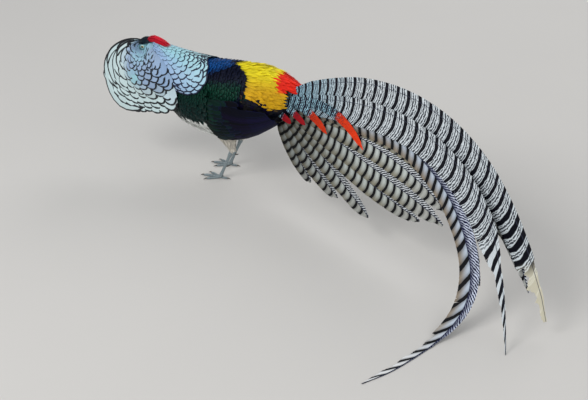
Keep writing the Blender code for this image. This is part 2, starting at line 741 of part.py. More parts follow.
def build_rump(group):
    rump = rump_base(group)
    plumes = []
    for count, first, last, root_x, tip_x, lift, half in RUMP_ROWS:
        for i in range(count):
            angle = first + (last - first) * i / (count - 1)
            tip_angle = angle - PLUME_DROOP * math.cos(math.radians(angle))
            plumes.append(feather("vane", (root_x, angle), (tip_x, tip_angle), body_point, body_normal,
                                  (PLUME_ROOT, lift), half, PLUME_THICKNESS, PLUME_TILT, group,
                                  PLUME_OUTLINE))
    combine(rump, plumes, "UNION")
    return paint(rump, (0.90, 0.66, 0.03), 0.6)


WING_COLOUR = (0.015, 0.020, 0.060)
WING_VANES = (                   # vanes, root x, first and last root angle, first and last tip x and angle
    (7, 0.050, 8, -20, 0.146, 0.158, -12, -30),
    (7, 0.046, -24, -50, 0.164, 0.166, -33, -58),
)
WING_HANG = 0.45                 # under 1 the drooped wing hangs clear of the flank below
WING_FIRST_LIFT = 0.0150
WING_LIFT_STEP = 0.00095
WING_OUTLINE = ((0.0, 0.5), (0.35, 1.0), (0.84, 0.92), (1.0, 0.30))
WING_VANE_HALF = 0.0088
WING_VANE_THICKNESS = 0.0007
WING_FRONT_X = -0.008            # the wing's base: the arm and its coverts
WING_BASE_LENGTH = 0.094
WING_MIN_HALF = 0.052            # the flank under the wing is at least this wide as far as x 0.13
WING_NARROWS_X = 0.13
WING_NARROWS = 0.10
WING_UNDERSIDE = 0.0008
WING_EDGE = 0.0022
WING_LOW_SWELL = 0.0040
WING_TOP_SWELL = 0.0105


def wing_point(x, angle, lift):
    """The flank under a folded wing: the body's side, held from narrowing too soon behind."""
    top, bottom, half = smooth_rows(TORSO_SECTIONS, x)[0]
    half = max(half, WING_MIN_HALF - WING_NARROWS * max(0.0, x - WING_NARROWS_X))
    turn = math.radians(angle)
    bow = math.cos(turn)**(WING_HANG if angle < 0 else 1.0)
    return np.array([x, -(half + lift) * bow,
                     (top + bottom) / 2 + ((top - bottom) / 2 + lift) * math.sin(turn)])


def wing_normal(x, angle):
    around = wing_point(x, angle + 1.0, 0) - wing_point(x, angle - 1.0, 0)
    along = wing_point(x + 0.002, angle, 0) - wing_point(x - 0.002, angle, 0)
    return unit(np.cross(around, along))


def mirrored(item, name, group):
    """A copy of a near-side part for the far side."""
    mesh = item.data.copy()
    mesh.name = name
    bm = bmesh.new()
    bm.from_mesh(mesh)
    for vert in bm.verts:
        vert.co.y = -vert.co.y
    bmesh.ops.reverse_faces(bm, faces=bm.faces)
    bm.to_mesh(mesh)
    bm.free()
    twin = bpy.data.objects.new(name, mesh)
    group.objects.link(twin)
    return twin


def wing_base_point(s, t, lift):
    """The wing's base, s from front to back and t from its lower edge to its upper edge."""
    spread = min(1.0, 2.2 * s)**0.8
    return wing_point(WING_FRONT_X + WING_BASE_LENGTH * s, -22 - 30 * spread + t * (8 + 64 * spread), lift)


def wing_cover(s, t):
    """Thickness of the wing's base: fullest at the arm, thin at the edges."""
    swell = math.sin(math.pi * min(1.0, 0.12 + 0.88 * s))**0.6
    return WING_EDGE + (WING_LOW_SWELL + WING_TOP_SWELL * t) * swell


def build_wing(name, group, trims):
    core = patch(name, wing_base_point, np.linspace(0, 1, 8), np.linspace(0, 1, 7),
                 lambda s, t: WING_UNDERSIDE, wing_cover, group)
    vanes = []
    lift = WING_FIRST_LIFT
    for count, root_x, root_a, root_b, tip_a, tip_b, angle_a, angle_b in WING_VANES:
        for i in range(count):
            t = i / (count - 1)
            start = (root_x, root_a + t * (root_b - root_a))
            end = (tip_a + t * (tip_b - tip_a), angle_a + t * (angle_b - angle_a))
            vanes.append(feather("vane", start, end, wing_point, wing_normal, (lift, lift), WING_VANE_HALF,
                                 WING_VANE_THICKNESS, 0.0, group, WING_OUTLINE))
            lift -= WING_LIFT_STEP
    combine(core, vanes, "UNION")
    combine(core, trims(), "DIFFERENCE")
    return paint(core, WING_COLOUR, 0.4, 0.1)


# ---------------------------------------------------------------- tail
# length, heading in degrees as a polynomial of the way along, half width, height in the stack
CENTRE_FEATHERS = (
    (0.951, (8.8, 79.2, -340.7, 193.0), 0.0300, 0.0),
    (0.955, (26.6, 0.8, -222.0, 140.0), 0.0315, -0.0018),
)
CENTRE_PITCH = ((-1.2, 9.2), (5.8, -19.4))   # degrees out of the plane, on the square and cube
CENTRE_OUTLINES = (                          # the first drops off to a long worn tip
    ((0.0, 0.14), (0.05, 0.40), (0.12, 0.78), (0.26, 1.0), (0.62, 0.97), (0.74, 0.90), (0.79, 0.60),
     (0.83, 0.40), (0.88, 0.30), (0.93, 0.17), (1.0, 0.08)),
    ((0.0, 0.14), (0.05, 0.40), (0.12, 0.78), (0.26, 1.0), (0.66, 0.97), (0.86, 0.78), (0.95, 0.54),
     (1.0, 0.16)),
)
NEAR_FEATHERS = (
    (0.752, (1.4, 69.3, -205.3, 76.6), 0.0200),
    (0.556, (0.8, 4.0, -26.0, 0.0), 0.0245),
    (0.560, (-5.0, -29.9, 66.0, -42.6), 0.0250),
    (0.505, (-16.0, 15.8, -37.0, 36.8), 0.0225),
    (0.390, (-28.0, 48.0, -104.0, 68.0), 0.0205),
    (0.300, (-43.0, 56.1, -75.7, 50.0), 0.0190),
    (0.225, (-55.0, 24.0, 48.0, -44.0), 0.0170),
)
FAR_LENGTHS = (0.860, 0.740, 0.600, 0.520, 0.430, 0.340, 0.270, 0.205)
FAR_HEADING = (17.5, 42.0, -312.0, 196.0)    # degrees against metres along
FAR_FAN = 1.4                                # degrees between neighbours on the far side
COVERTS = (
    (0.316, (8.8, 86.3, -275.1, 148.5), 0.0105),
    (0.199, (21.2, -64.2, 21.9, -5.7), 0.0095),
    (0.129, (7.7, -44.6, -3.7, 27.6), 0.0085),
    (0.092, (-38.0, 45.0, 4.4, -23.1), 0.0080),
)
LONG_PLUME_TOP = -0.0042
# the long plume that sweeps down and curls along the floor: run, rise and face in the tail's frame
LONG_PLUME = (
    (0.000, 0.000, LONG_PLUME_TOP), (0.189, 0.030, LONG_PLUME_TOP), (0.384, 0.038, LONG_PLUME_TOP),
    (0.518, -0.007, -0.0035),
    (0.599, -0.061, 0.002), (0.658, -0.117, 0.014), (0.688, -0.165, 0.026), (0.699, -0.207, 0.042),
    (0.702, -0.242, 0.068), (0.704, -0.268, 0.100), (0.707, -0.290, 0.142), (0.710, -0.321, 0.214),
    (0.701, -0.349, 0.279),
)
LONG_PLUME_HALF = 0.0260
LONG_PLUME_TURN = (0.62, 0.78)   # shares between which its flat face turns to lie on the floor
NEAR_TOP = -0.0068
NEAR_STEP = 0.0014
FAR_TOP = -0.0182
STACK_MARGIN = 0.0011            # what a block stands out past its first and last feather
THIN_MARGIN = 0.0009             # and the block of a single feather
CENTRE_BLOCK = (-0.006, 0.018)   # rise of each block's lower and upper edge
NEAR_BLOCK = (-0.036, 0.008)
PLUME_BLOCK = (-0.006, 0.010)
COVERT_BLOCK = (-0.026, 0.012, 0.0015, 0.0092)   # and the face of its back and front
COVERT_BLOCK_REACH = 0.020
COVERT_FIRST = 0.0030
COVERT_STEP = 0.0016
FAR_HALF = 0.0210                # half width of the widest far feather, then less by a step each
FAR_HALF_STEP = 0.0006
ROOT_INSET = 0.008               # a tail feather starts this far inside its block
ROOT_TAPER = 0.034               # and widens over this length
CENTRE_SECTIONS = 20
TAIL_OUTLINE = (
    (0.0, 0.14), (0.05, 0.40), (0.12, 0.78), (0.26, 1.0),
    (0.66, 0.97), (0.86, 0.76), (0.95, 0.48), (1.0, 0.12),
)


def tail_path(length, heading, pitch, face_by, samples=160):
    """Points along a feather whose heading in the tail plane and pitch out of it are polynomials."""
    run, rise, face = tail_axes()
    t = np.linspace(0, 1, samples)
    turn = np.radians(sum(h * t**k for k, h in enumerate(heading)))
    lean = np.radians(sum(p * t**(k + 2) for k, p in enumerate(pitch)))
    way = (np.cos(lean) * np.cos(turn))[:, None] * run + (np.cos(lean) * np.sin(turn))[:, None] * rise
    way = way + np.sin(lean)[:, None] * face
    points = np.zeros((samples, 3))
    points[1:] = np.cumsum(0.5 * (way[1:] + way[:-1]), axis=0) * length / (samples - 1)
    return np.array(TAIL_ROOT) + face_by * face + points


def tail_ribbon(path, half, sections, group, ups=None, outline=TAIL_OUTLINE):
    """A long feather along a path; it starts inside the block that holds it and tapers to its tip."""
    run, _, face = tail_axes()
    start = np.argmax((path - np.array(TAIL_ROOT)) @ run > TAIL_SEAT + ROOT_INSET)
    steps = np.linalg.norm(np.diff(path, axis=0), axis=1)
    reach = np.concatenate([[0.0], np.cumsum(steps)])
    share = reach / reach[-1]
    at = np.linspace(share[start], 1, sections)
    centres = np.stack([np.interp(at, share, path[:, k]) for k in range(3)], 1)
    widths = half * np.interp(at, [t for t, _ in outline], [w for _, w in outline])
    widths = widths * np.minimum(1.0, 0.25 + (at - share[start]) * reach[-1] / ROOT_TAPER)
    normals = [face] * sections if ups is None else [ups(t) for t in at]
    thick = VANE_THICKNESS * np.interp(at, [0, 0.3, 1], [1.25, 1.0, TIP_SHARE])
    return slab("vane", centres, np.gradient(centres, axis=0), normals, widths, widths, thick, group, 0.0)


def tail_block(name, rise_low, rise_high, face_low, face_high, group, reach=TAIL_CORE):
    """The block of a tail part's feather roots: a rounded bar standing 0.3 mm off the rump's flat end."""
    rings = []
    for along, grow in ((0.0, 1.0), (0.45, 1.0), (0.8, 0.86), (1.0, 0.55)):
        ring = []
        middle, half = 0.5 * (rise_low + rise_high), 0.5 * (rise_high - rise_low) * grow
        for rise_by, face_by in ((-1, face_low), (-1, face_high), (1, face_high), (1, face_low)):
            ring.append(tail_point(TAIL_SEAT + GAP + reach * along, middle + rise_by * half, face_by))
        rings.append(ring)
    return loft(name, rings, group)


def build_tail_central(group):
    core = tail_block("tail_central", *CENTRE_BLOCK, CENTRE_FEATHERS[1][3] - STACK_MARGIN, STACK_MARGIN,
                      group)
    vanes = []
    for feather, pitch, outline in zip(CENTRE_FEATHERS, CENTRE_PITCH, CENTRE_OUTLINES):
        length, heading, half, height = feather
        path = tail_path(length, heading, pitch, height)
        vanes.append(tail_ribbon(path, half, CENTRE_SECTIONS, group, outline=outline))
    combine(core, vanes, "UNION")
    return paint(core, (0.82, 0.84, 0.84), 0.55)


def build_tail_near(group):
    low = NEAR_TOP - NEAR_STEP * (len(NEAR_FEATHERS) - 1) - STACK_MARGIN
    core = tail_block("tail_near", *NEAR_BLOCK, low, NEAR_TOP + STACK_MARGIN, group)
    vanes = []
    for i, (length, heading, half) in enumerate(NEAR_FEATHERS):
        path = tail_path(length, heading, (0.0,), NEAR_TOP - NEAR_STEP * i)
        vanes.append(tail_ribbon(path, half, 8 + int(8 * length), group))
    combine(core, vanes, "UNION")
    return paint(core, (0.50, 0.50, 0.45), 0.55)


def build_tail_plume(group):
    """The long near feather: it leaves the sheet low down and lies along the floor at its end."""
    _, _, face = tail_axes()
    core = tail_block("tail_long_plume", *PLUME_BLOCK, LONG_PLUME_TOP - THIN_MARGIN,
                      LONG_PLUME_TOP + THIN_MARGIN, group)
    rows = [(k / (len(LONG_PLUME) - 1), *point) for k, point in enumerate(LONG_PLUME)]
    frame = smooth_rows(rows, np.linspace(0, 1, 240))
    path = np.array([tail_point(*point) for point in frame])
    path[:, 2] = np.maximum(path[:, 2], 0.5 * TIP_SHARE * VANE_THICKNESS)

    def ups(t):
        lay = min(1.0, max(0.0, (t - LONG_PLUME_TURN[0]) / (LONG_PLUME_TURN[1] - LONG_PLUME_TURN[0])))
        lay = lay * lay * (3 - 2 * lay)
        return unit((1 - lay) * face + lay * np.array([0, 0, 1.0]))

    vane = tail_ribbon(path, LONG_PLUME_HALF, 22, group, ups)
    combine(core, [vane], "UNION")
    return paint(core, (0.60, 0.60, 0.56), 0.55)


def build_tail_far(group):
    low = FAR_TOP - NEAR_STEP * (len(FAR_LENGTHS) - 1) - STACK_MARGIN
    core = tail_block("tail_far", *CENTRE_BLOCK, low, FAR_TOP + STACK_MARGIN, group)
    vanes = []
    for i, length in enumerate(FAR_LENGTHS):
        heading = [h * length**k for k, h in enumerate(FAR_HEADING)]
        heading[0] -= FAR_FAN * i
        pitch = [p * (length / CENTRE_FEATHERS[1][0])**(k + 2) for k, p in enumerate(CENTRE_PITCH[1])]
        path = tail_path(length, heading, pitch, FAR_TOP - NEAR_STEP * i)
        vanes.append(tail_ribbon(path, FAR_HALF - FAR_HALF_STEP * i, 8 + int(6 * length), group))
    combine(core, vanes, "UNION")
    return paint(core, (0.48, 0.48, 0.43), 0.55)


def build_tail_coverts(group):
    core = tail_block("tail_coverts", *COVERT_BLOCK, group, COVERT_BLOCK_REACH)
    vanes = []
    for i, (length, heading, half) in enumerate(COVERTS):
        path = tail_path(length, heading, (0.0,), COVERT_FIRST + COVERT_STEP * i)
        vanes.append(tail_ribbon(path, half, 8, group))
    combine(core, vanes, "UNION")
    return paint(core, (0.85, 0.10, 0.02), 0.55)


# ---------------------------------------------------------------- legs
def build_thigh(name, side, group, trims):
    top, joint = np.array(THIGH_TOP), np.array(THIGH_JOINT)
    turn = np.linspace(0, 2 * math.pi, THIGH_SIDES, endpoint=False)
    rings = []
    for t, long_half, wide_half in THIGH_ROWS:
        x, z = top + t * (joint - top)
        rings.append(np.stack([x + long_half * np.cos(turn), side * LEG_Y + wide_half * np.sin(turn),
                               z + 0.25 * long_half * np.cos(turn)], 1))
    thigh = loft(name, rings, group)
    combine(thigh, trims(), "DIFFERENCE")
    cut(thigh, (0, 0, THIGH_JOINT[1] + THIGH_CUT), (0, 0, 1))
    return paint(thigh, (0.75, 0.74, 0.70), 0.8)


def build_toe(sole, way, length, radius, group):
    """A toe flat on the floor and the claw at its end."""
    points = [sole + way * length * share + np.array([0, 0, radius * height])
              for share, _, height in TOE_ROWS]
    toe = tube("toe", points, [radius * swell for _, swell, _ in TOE_ROWS], group, TOE_SIDES, 0.0)
    points = [sole + way * (length + CLAW_LENGTH * share) + np.array([0, 0, height])
              for share, height, _ in CLAW_ROWS]
    return [toe, tube("claw", points, [thick for _, _, thick in CLAW_ROWS], group, TOE_SIDES, 0.0)]


def build_foot(name, side, group):
    """Shank, toes and spur; the soles are flat at the floor."""
    y = side * LEG_Y
    ankle = np.array([FOOT_X, y, ANKLE_Z])
    top = np.array([THIGH_JOINT[0], y, THIGH_JOINT[1] + THIGH_CUT - GAP])
    path = np.array([top + t * (ankle - top) for t in np.linspace(0, 1, len(SHANK_RADII))])
    shank = cut(tube(name, path, SHANK_RADII, group, SHANK_SIDES), (0, 0, top[2]), (0, 0, -1))
    parts = []
    for turn, length, radius in TOES:
        a = math.radians(turn)
        way = np.array([-math.cos(a), -math.sin(a) * side, 0.0])
        parts += build_toe(ankle * (1, 1, 0), way, length, radius, group)
    spur = [path[SPUR_RING] + np.array([back, -side * inward, up]) for back, inward, up, _ in SPUR_ROWS]
    parts.append(tube("spur", spur, [thick for *_, thick in SPUR_ROWS], group, TOE_SIDES))
    combine(shank, parts, "UNION")
    return paint(shank, (0.45, 0.47, 0.42), 0.5)


# ---------------------------------------------------------------- whole bird
def centre_on_floor(group):
    """Moves every part so the whole stands on the origin of its footprint."""
    corners = np.array([tuple(v.co) for item in group.objects for v in item.data.vertices])
    low, high = corners.min(0), corners.max(0)
    shift = np.array([-(low[0] + high[0]) / 2, -(low[1] + high[1]) / 2, -low[2]])
    for item in group.objects:
        for vert in item.data.vertices:
            vert.co = vert.co + type(vert.co)(shift)
        item.data.update()


def main():
    clear_scene()
    group = new_collection("lady_amhersts_pheasant")

    def flesh():
        return [torso_loft("trim", TRIM_LIFT, group), neck_loft("trim", TRIM_LIFT, group),
                head_loft("trim", TRIM_LIFT, group)]

    build_torso(group)
    build_neck(group)
    build_head(group)
    build_eye("eye_left", -1, group)
    build_eye("eye_right", 1, group)
    build_bill("bill_upper", 1, group)
    build_bill("bill_lower", -1, group)
    build_crest(group, flesh)
    build_cape_fan(group, flesh)
    build_cape_nape(group, lambda: flesh() + [fan_core("trim", FAN_CLEARANCE, group)])
    build_rump(group)
    wing = build_wing("wing_left", group, lambda: [torso_loft("trim", TRIM_LIFT, group)])
    paint(mirrored(wing, "wing_right", group), WING_COLOUR, 0.4, 0.1)
    build_tail_coverts(group)
    build_tail_central(group)
    build_tail_plume(group)
    build_tail_near(group)
    build_tail_far(group)
    for side, word in ((-1, "left"), (1, "right")):
        build_thigh("thigh_" + word, side, group, lambda: [torso_loft("trim", TRIM_LIFT, group)])
        build_foot("foot_" + word, side, group)
    centre_on_floor(group)


main()
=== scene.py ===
"""Life-size male Lady Amherst's pheasant in its sideways display, dressed round the packed solids.

Everything is laid out in the bird's own coordinates: metres, floor at z = 0, the bird faces -X and shows its
left flank to -Y.  Stance moves each finished mesh to the frame's coordinates.
"""
from __future__ import annotations

import logging
import math
from dataclasses import dataclass, field
from enum import Enum
from typing import Any, Callable, Sequence, Union

import bmesh
import bpy
import numpy as np
from mathutils import Matrix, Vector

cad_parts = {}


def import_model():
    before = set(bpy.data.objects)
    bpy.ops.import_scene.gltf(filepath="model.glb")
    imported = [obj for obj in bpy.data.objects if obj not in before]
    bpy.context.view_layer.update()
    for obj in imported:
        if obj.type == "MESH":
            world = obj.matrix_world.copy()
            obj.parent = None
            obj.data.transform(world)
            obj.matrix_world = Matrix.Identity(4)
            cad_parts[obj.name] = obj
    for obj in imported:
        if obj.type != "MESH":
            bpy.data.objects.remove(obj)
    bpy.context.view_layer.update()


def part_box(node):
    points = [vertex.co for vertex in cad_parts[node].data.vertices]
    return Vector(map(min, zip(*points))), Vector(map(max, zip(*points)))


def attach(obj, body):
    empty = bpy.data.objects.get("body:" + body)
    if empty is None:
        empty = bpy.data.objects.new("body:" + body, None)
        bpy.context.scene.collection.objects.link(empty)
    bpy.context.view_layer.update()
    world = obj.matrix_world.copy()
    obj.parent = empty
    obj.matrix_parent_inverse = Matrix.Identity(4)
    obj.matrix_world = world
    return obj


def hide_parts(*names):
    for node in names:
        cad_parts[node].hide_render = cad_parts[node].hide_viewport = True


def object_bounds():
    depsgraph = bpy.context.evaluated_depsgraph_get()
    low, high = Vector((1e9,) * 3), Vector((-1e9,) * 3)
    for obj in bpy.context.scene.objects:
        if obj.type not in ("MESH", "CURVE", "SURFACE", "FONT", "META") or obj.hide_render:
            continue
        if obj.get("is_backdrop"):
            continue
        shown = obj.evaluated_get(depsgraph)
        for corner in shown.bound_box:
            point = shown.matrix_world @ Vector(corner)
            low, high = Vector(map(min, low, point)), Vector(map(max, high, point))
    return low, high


Array = np.ndarray
Pair = tuple[float, float]
Point = tuple[float, float, float]
Colour = tuple[float, float, float]
Table = tuple[tuple[float, ...], ...]
Draws = np.random.Generator
Item = bpy.types.Object
Pattern = Callable[[Array, Array], Array]
Span = Callable[[float], Pair]
LOG = logging.getLogger("pheasant")


# ---- arithmetic on points and colours
def unit(vectors: Array) -> Array:
    """Vectors brought to length one along their last axis."""
    return vectors / np.maximum(np.linalg.norm(vectors, axis=-1, keepdims=True), 1e-12)


def stack(*parts: Any) -> Array:
    """Numbers and arrays side by side on a new last axis."""
    return np.stack(np.broadcast_arrays(*parts), -1)


def cosine(degrees: Any) -> Array:
    """Cosine of an angle in degrees."""
    return np.cos(np.radians(degrees))


def sine(degrees: Any) -> Array:
    """Sine of an angle in degrees."""
    return np.sin(np.radians(degrees))


def turns(count: int) -> Array:
    """Angles evenly round a circle, in radians."""
    return np.linspace(0, 2 * np.pi, count, endpoint=False)


def distances(line: Array) -> Array:
    """Distance along a line of points, from 0 at the first."""
    return np.concatenate([[0.0], np.cumsum(np.linalg.norm(np.diff(line, axis=0), axis=1))])


def square(ways: Array, ups: Array) -> tuple[Array, Array]:
    """Sides and outward directions at right angles to the ways and to each other."""
    sides = unit(np.cross(ways, ups))
    return sides, unit(np.cross(sides, ways))


def ease(low: float, high: float, value: Array) -> Array:
    """Smooth step: 0 at low, 1 at high, with level ends."""
    t = np.clip((np.asarray(value, float) - low) / (high - low), 0.0, 1.0)
    return t * t * (3.0 - 2.0 * t)


def blend(a: Array, b: Array, share: Array) -> Array:
    """a where share is 0 and b where it is 1, with share spread over the last axis."""
    share = np.asarray(share, float)[..., None]
    return np.asarray(a, float) * (1.0 - share) + np.asarray(b, float) * share


def read(rows: Sequence[Sequence[float]], at: Any) -> Array:
    """Cubic Hermite curves through the rows of a table, read at places of its rising first column.

    Args:
        rows: the table.
        at: places in an array of any shape.

    Returns:
        The table's other columns, each of the places' shape.
    """
    table, at = np.asarray(rows, float), np.asarray(at, float)
    x, slopes = table[:, 0], np.gradient(table[:, 1:], table[:, 0], axis=0)
    where = np.clip(at.ravel(), x[0], x[-1])
    i = np.clip(np.searchsorted(x, where) - 1, 0, len(x) - 2)
    step = (x[i + 1] - x[i])[:, None]
    t = (where - x[i])[:, None] / step
    a, b = table[i, 1:], table[i + 1, 1:]
    found = ((2 * t**3 - 3 * t**2 + 1) * a + (t**3 - 2 * t**2 + t) * step * slopes[i]
             + (3 * t**2 - 2 * t**3) * b + (t**3 - t**2) * step * slopes[i + 1])
    return found.T.reshape(-1, *at.shape)


def hue(red: int, green: int, blue: int) -> Colour:
    """A display colour of 0 to 255 a channel as linear light."""
    share = np.array([red, green, blue]) / 255.0
    light = np.where(share <= 0.04045, share / 12.92, ((share + 0.055) / 1.055) ** 2.4)
    return tuple(float(v) for v in light)


class Livery:
    """The plumage's colours, shared by skin and feathers."""

    MANTLE = hue(5, 42, 30)
    MANTLE_TOP = hue(10, 62, 120)
    NAVY = hue(5, 8, 26)
    BREAST = hue(4, 30, 28)
    BELLY = hue(226, 228, 224)
    LEMON = hue(232, 214, 22)
    OCHRE = hue(214, 164, 10)
    SCARLET = hue(240, 36, 10)
    VENT = hue(120, 108, 92)
    CROWN = hue(8, 36, 50)
    FACE = hue(150, 214, 222)
    THROAT = hue(14, 44, 48)
    CREST = hue(214, 18, 46)
    CAPE_WHITE = hue(208, 230, 232)
    # lilac: the cape's white in painted shade
    CAPE_SHADE_LILAC = hue(152, 176, 206)
    CAPE_CYAN = hue(160, 214, 224)
    CAPE_BLUE = hue(150, 180, 216)
    RIM = hue(7, 14, 22)
    THIGH = hue(198, 192, 180)
    SADDLE = ((-90, 0.082), (15, 0.084), (30, 0.094), (50, 0.098), (70, 0.078), (90, 0.052))

    @staticmethod
    def climb(points: Array) -> Array:
        """Angle up the body's section, the same on both sides: 90 on the back, -90 below."""
        x, y, z = np.moveaxis(points, -1, 0)
        top, bottom, half = read(TORSO.rows, x)
        return np.degrees(np.arctan2((z - (top + bottom) / 2) / (top - bottom) * 2, np.abs(y) / half))

    @classmethod
    def saddle(cls, climb: Array) -> Array:
        """x of the mantle's rear edge at angles up the section, where the yellow begins."""
        return np.interp(climb, *np.array(cls.SADDLE).T)

    @staticmethod
    def hem(x: Array) -> Array:
        """Angle up the section at which the yellow ends: 12, lower towards the tail."""
        return 12.0 - 26.0 * ease(0.11, 0.15, x)

    @classmethod
    def body(cls, points: Array) -> Array:
        """Colours of the body at points in the bird's coordinates.

        The mantle is green, blue on the back behind the cape and navy at its rounded rear edge; the belly
        white; the saddle lemon above and ochre on the flank; the tail's root scarlet; the vent grey-brown.
        """
        x, z, climb = points[..., 0], points[..., 2], cls.climb(points)
        past = x - cls.saddle(climb)
        tone = blend(cls.BREAST, cls.MANTLE, ease(-10.0, 30.0, climb))
        for colour, share in (
                (cls.NAVY, ease(30.0, 48.0, climb)),
                (cls.MANTLE_TOP, ease(44.0, 60.0, climb - 380.0 * np.maximum(0.0, x + 0.012))
                 * ease(-0.085, -0.07, x)),
                (cls.NAVY, ease(-0.016, -0.004, past)),
                (cls.BELLY, 1.0 - ease(0.152, 0.16, z + 0.35 * np.maximum(x - 0.005, 0.0))),
                (cls.VENT, ease(0.085, 0.115, x) * (1.0 - ease(0.15, 0.17, z))),
                (blend(cls.OCHRE, cls.LEMON, ease(20.0, 70.0, climb)),
                 ease(-0.002, 0.002, past) * ease(0.0, 4.0, climb - cls.hem(x))),
                (cls.SCARLET, ease(0.164, 0.1675, x) * ease(24.0, 36.0, climb))):
            tone = blend(tone, colour, share)
        return cls.head(points, tone)

    @classmethod
    def head(cls, points: Array, tone: Array) -> Array:
        """The head's colours laid over the body's: dark crown, pale blue face, dark throat."""
        x = points[..., 0]
        level = points[..., 2] - HEAD_CENTRE[2] - 0.25 * (x - HEAD_CENTRE[0])
        face = blend(cls.THROAT, cls.FACE, ease(-0.016, -0.008, level))
        return blend(tone, blend(face, cls.CROWN, ease(0.0105, 0.0135, level)), 1.0 - ease(-0.128, -0.118, x))


# ---- surfaces feathers grow on
class Surface:
    """A surface of two parameters that feathers can be laid on, and the steps its normal is taken over."""

    step_u = 0.002
    step_v = 1.0

    def at(self, u: Array, v: Array, lift: Any) -> Array:
        """The surface's formula, for parameters of one shape."""
        raise NotImplementedError

    def point(self, u: Any, v: Any, lift: Any = 0.0) -> Array:
        """Points at parameters u and v, lifted off the surface."""
        return self.at(*np.broadcast_arrays(np.asarray(u, float), np.asarray(v, float)), lift)

    def normal(self, u: Array, v: Array) -> Array:
        """Outward normals: the cross product of the steps along and round the surface."""
        along = self.point(u + self.step_u, v) - self.point(u - self.step_u, v)
        around = self.point(u, v + self.step_v) - self.point(u, v - self.step_v)
        return unit(np.cross(along, around))


@dataclass(frozen=True)
class Sections(Surface):
    """A body of sections across X: u is x and v the angle, 0 near side, 90 top, 180 far side.

    Each section is an ellipse from the table's top to its bottom, with its half width sideways.
    """

    rows: Table

    def at(self, u: Array, v: Array, lift: Any) -> Array:
        """Points of the ellipse sections, with lift added to both half axes."""
        top, bottom, half = read(self.rows, u)
        return stack(u, -(half + lift) * cosine(v),
                     (top + bottom) / 2 + ((top - bottom) / 2 + lift) * sine(v))


TORSO = Sections((
    (-0.124, 0.214, 0.196, 0.008), (-0.115, 0.236, 0.172, 0.027), (-0.1, 0.253, 0.151, 0.041),
    (-0.075, 0.269, 0.131, 0.053), (-0.04, 0.279, 0.114, 0.062), (0.0, 0.284, 0.104, 0.067),
    (0.04, 0.286, 0.102, 0.067), (0.08, 0.286, 0.11, 0.063), (0.12, 0.285, 0.129, 0.056),
    (0.15, 0.278, 0.15, 0.048), (0.18, 0.262, 0.172, 0.037), (0.205, 0.245, 0.192, 0.024),
))
NAPE = Sections((
    (-0.158, 0.31, 0.27, 0.02), (-0.144, 0.3065, 0.258, 0.026), (-0.13, 0.3005, 0.244, 0.033),
    (-0.105, 0.2935, 0.22, 0.042), (-0.08, 0.2895, 0.18, 0.0545), (-0.05, 0.2877, 0.13, 0.064),
    (-0.015, 0.2872, 0.112, 0.07), (0.025, 0.289, 0.106, 0.0715),
))
HEAD_CENTRE = np.array([-0.163, 0.0, 0.297])
# x from the head's centre, height of the axis, half height, half width
HEAD_ROWS = (
    (-0.0275, -0.004, 0.0055, 0.005), (-0.022, -0.0015, 0.0105, 0.0092),
    (-0.013, 0.001, 0.017, 0.015), (-0.003, 0.002, 0.0205, 0.019),
    (0.007, 0.0005, 0.021, 0.0195), (0.015, -0.004, 0.0208, 0.0194), (0.026, -0.012, 0.0205, 0.0192),
)
HEAD = Sections(tuple((HEAD_CENTRE[0] + x, HEAD_CENTRE[2] + a + t, HEAD_CENTRE[2] + a - t, w)
                      for x, a, t, w in HEAD_ROWS))
EYE = np.array([-0.1675, 0.0146, 0.303])
EYE_RADIUS = 0.0052
BILL_BASE = -0.1885


@dataclass(frozen=True)
class NeckTube(Surface):
    """The neck: u from 0 at the head to 1 at the shoulders, v the angle round it, 90 on top."""

    front: Point = (-0.15, 0.0, 0.289)
    back: Point = (-0.055, 0.0, 0.232)
    radii: tuple[float, ...] = (0.0195, 0.0225, 0.028, 0.036, 0.044)
    step_u = 0.02

    def at(self, u: Array, v: Array, lift: Any) -> Array:
        """Points of circles about a straight axis, with radii read along it."""
        front, back = np.array(self.front), np.array(self.back)
        way = unit(back - front)
        radius = (np.interp(u, np.linspace(0, 1, len(self.radii)), self.radii) + lift)[..., None]
        return (front + u[..., None] * (back - front) + radius * (
            cosine(v)[..., None] * np.array([0.0, -1.0, 0.0])
            + sine(v)[..., None] * np.array([-way[2], 0.0, way[0]])))


@dataclass(frozen=True)
class Flank(Surface):
    """The flank under a folded wing: the body's side, hanging clear below and held wide behind."""

    side: float = -1.0
    hang: float = 0.45
    least: float = 0.052
    narrows_at: float = 0.13
    narrows: float = 0.1

    def at(self, u: Array, v: Array, lift: Any) -> Array:
        """The body's section with its sideways reach held out by a power of the cosine below."""
        top, bottom, half = read(TORSO.rows, u)
        half = np.maximum(half, self.least - self.narrows * np.maximum(0.0, u - self.narrows_at))
        bow = np.abs(cosine(v)) ** np.where(v < 0, self.hang, 1.0)
        return stack(u, self.side * (half + lift) * bow,
                     (top + bottom) / 2 + ((top - bottom) / 2 + lift) * sine(v))

    def normal(self, u: Array, v: Array) -> Array:
        """As on any surface, turned outwards on either side."""
        return super().normal(u, v) * -self.side


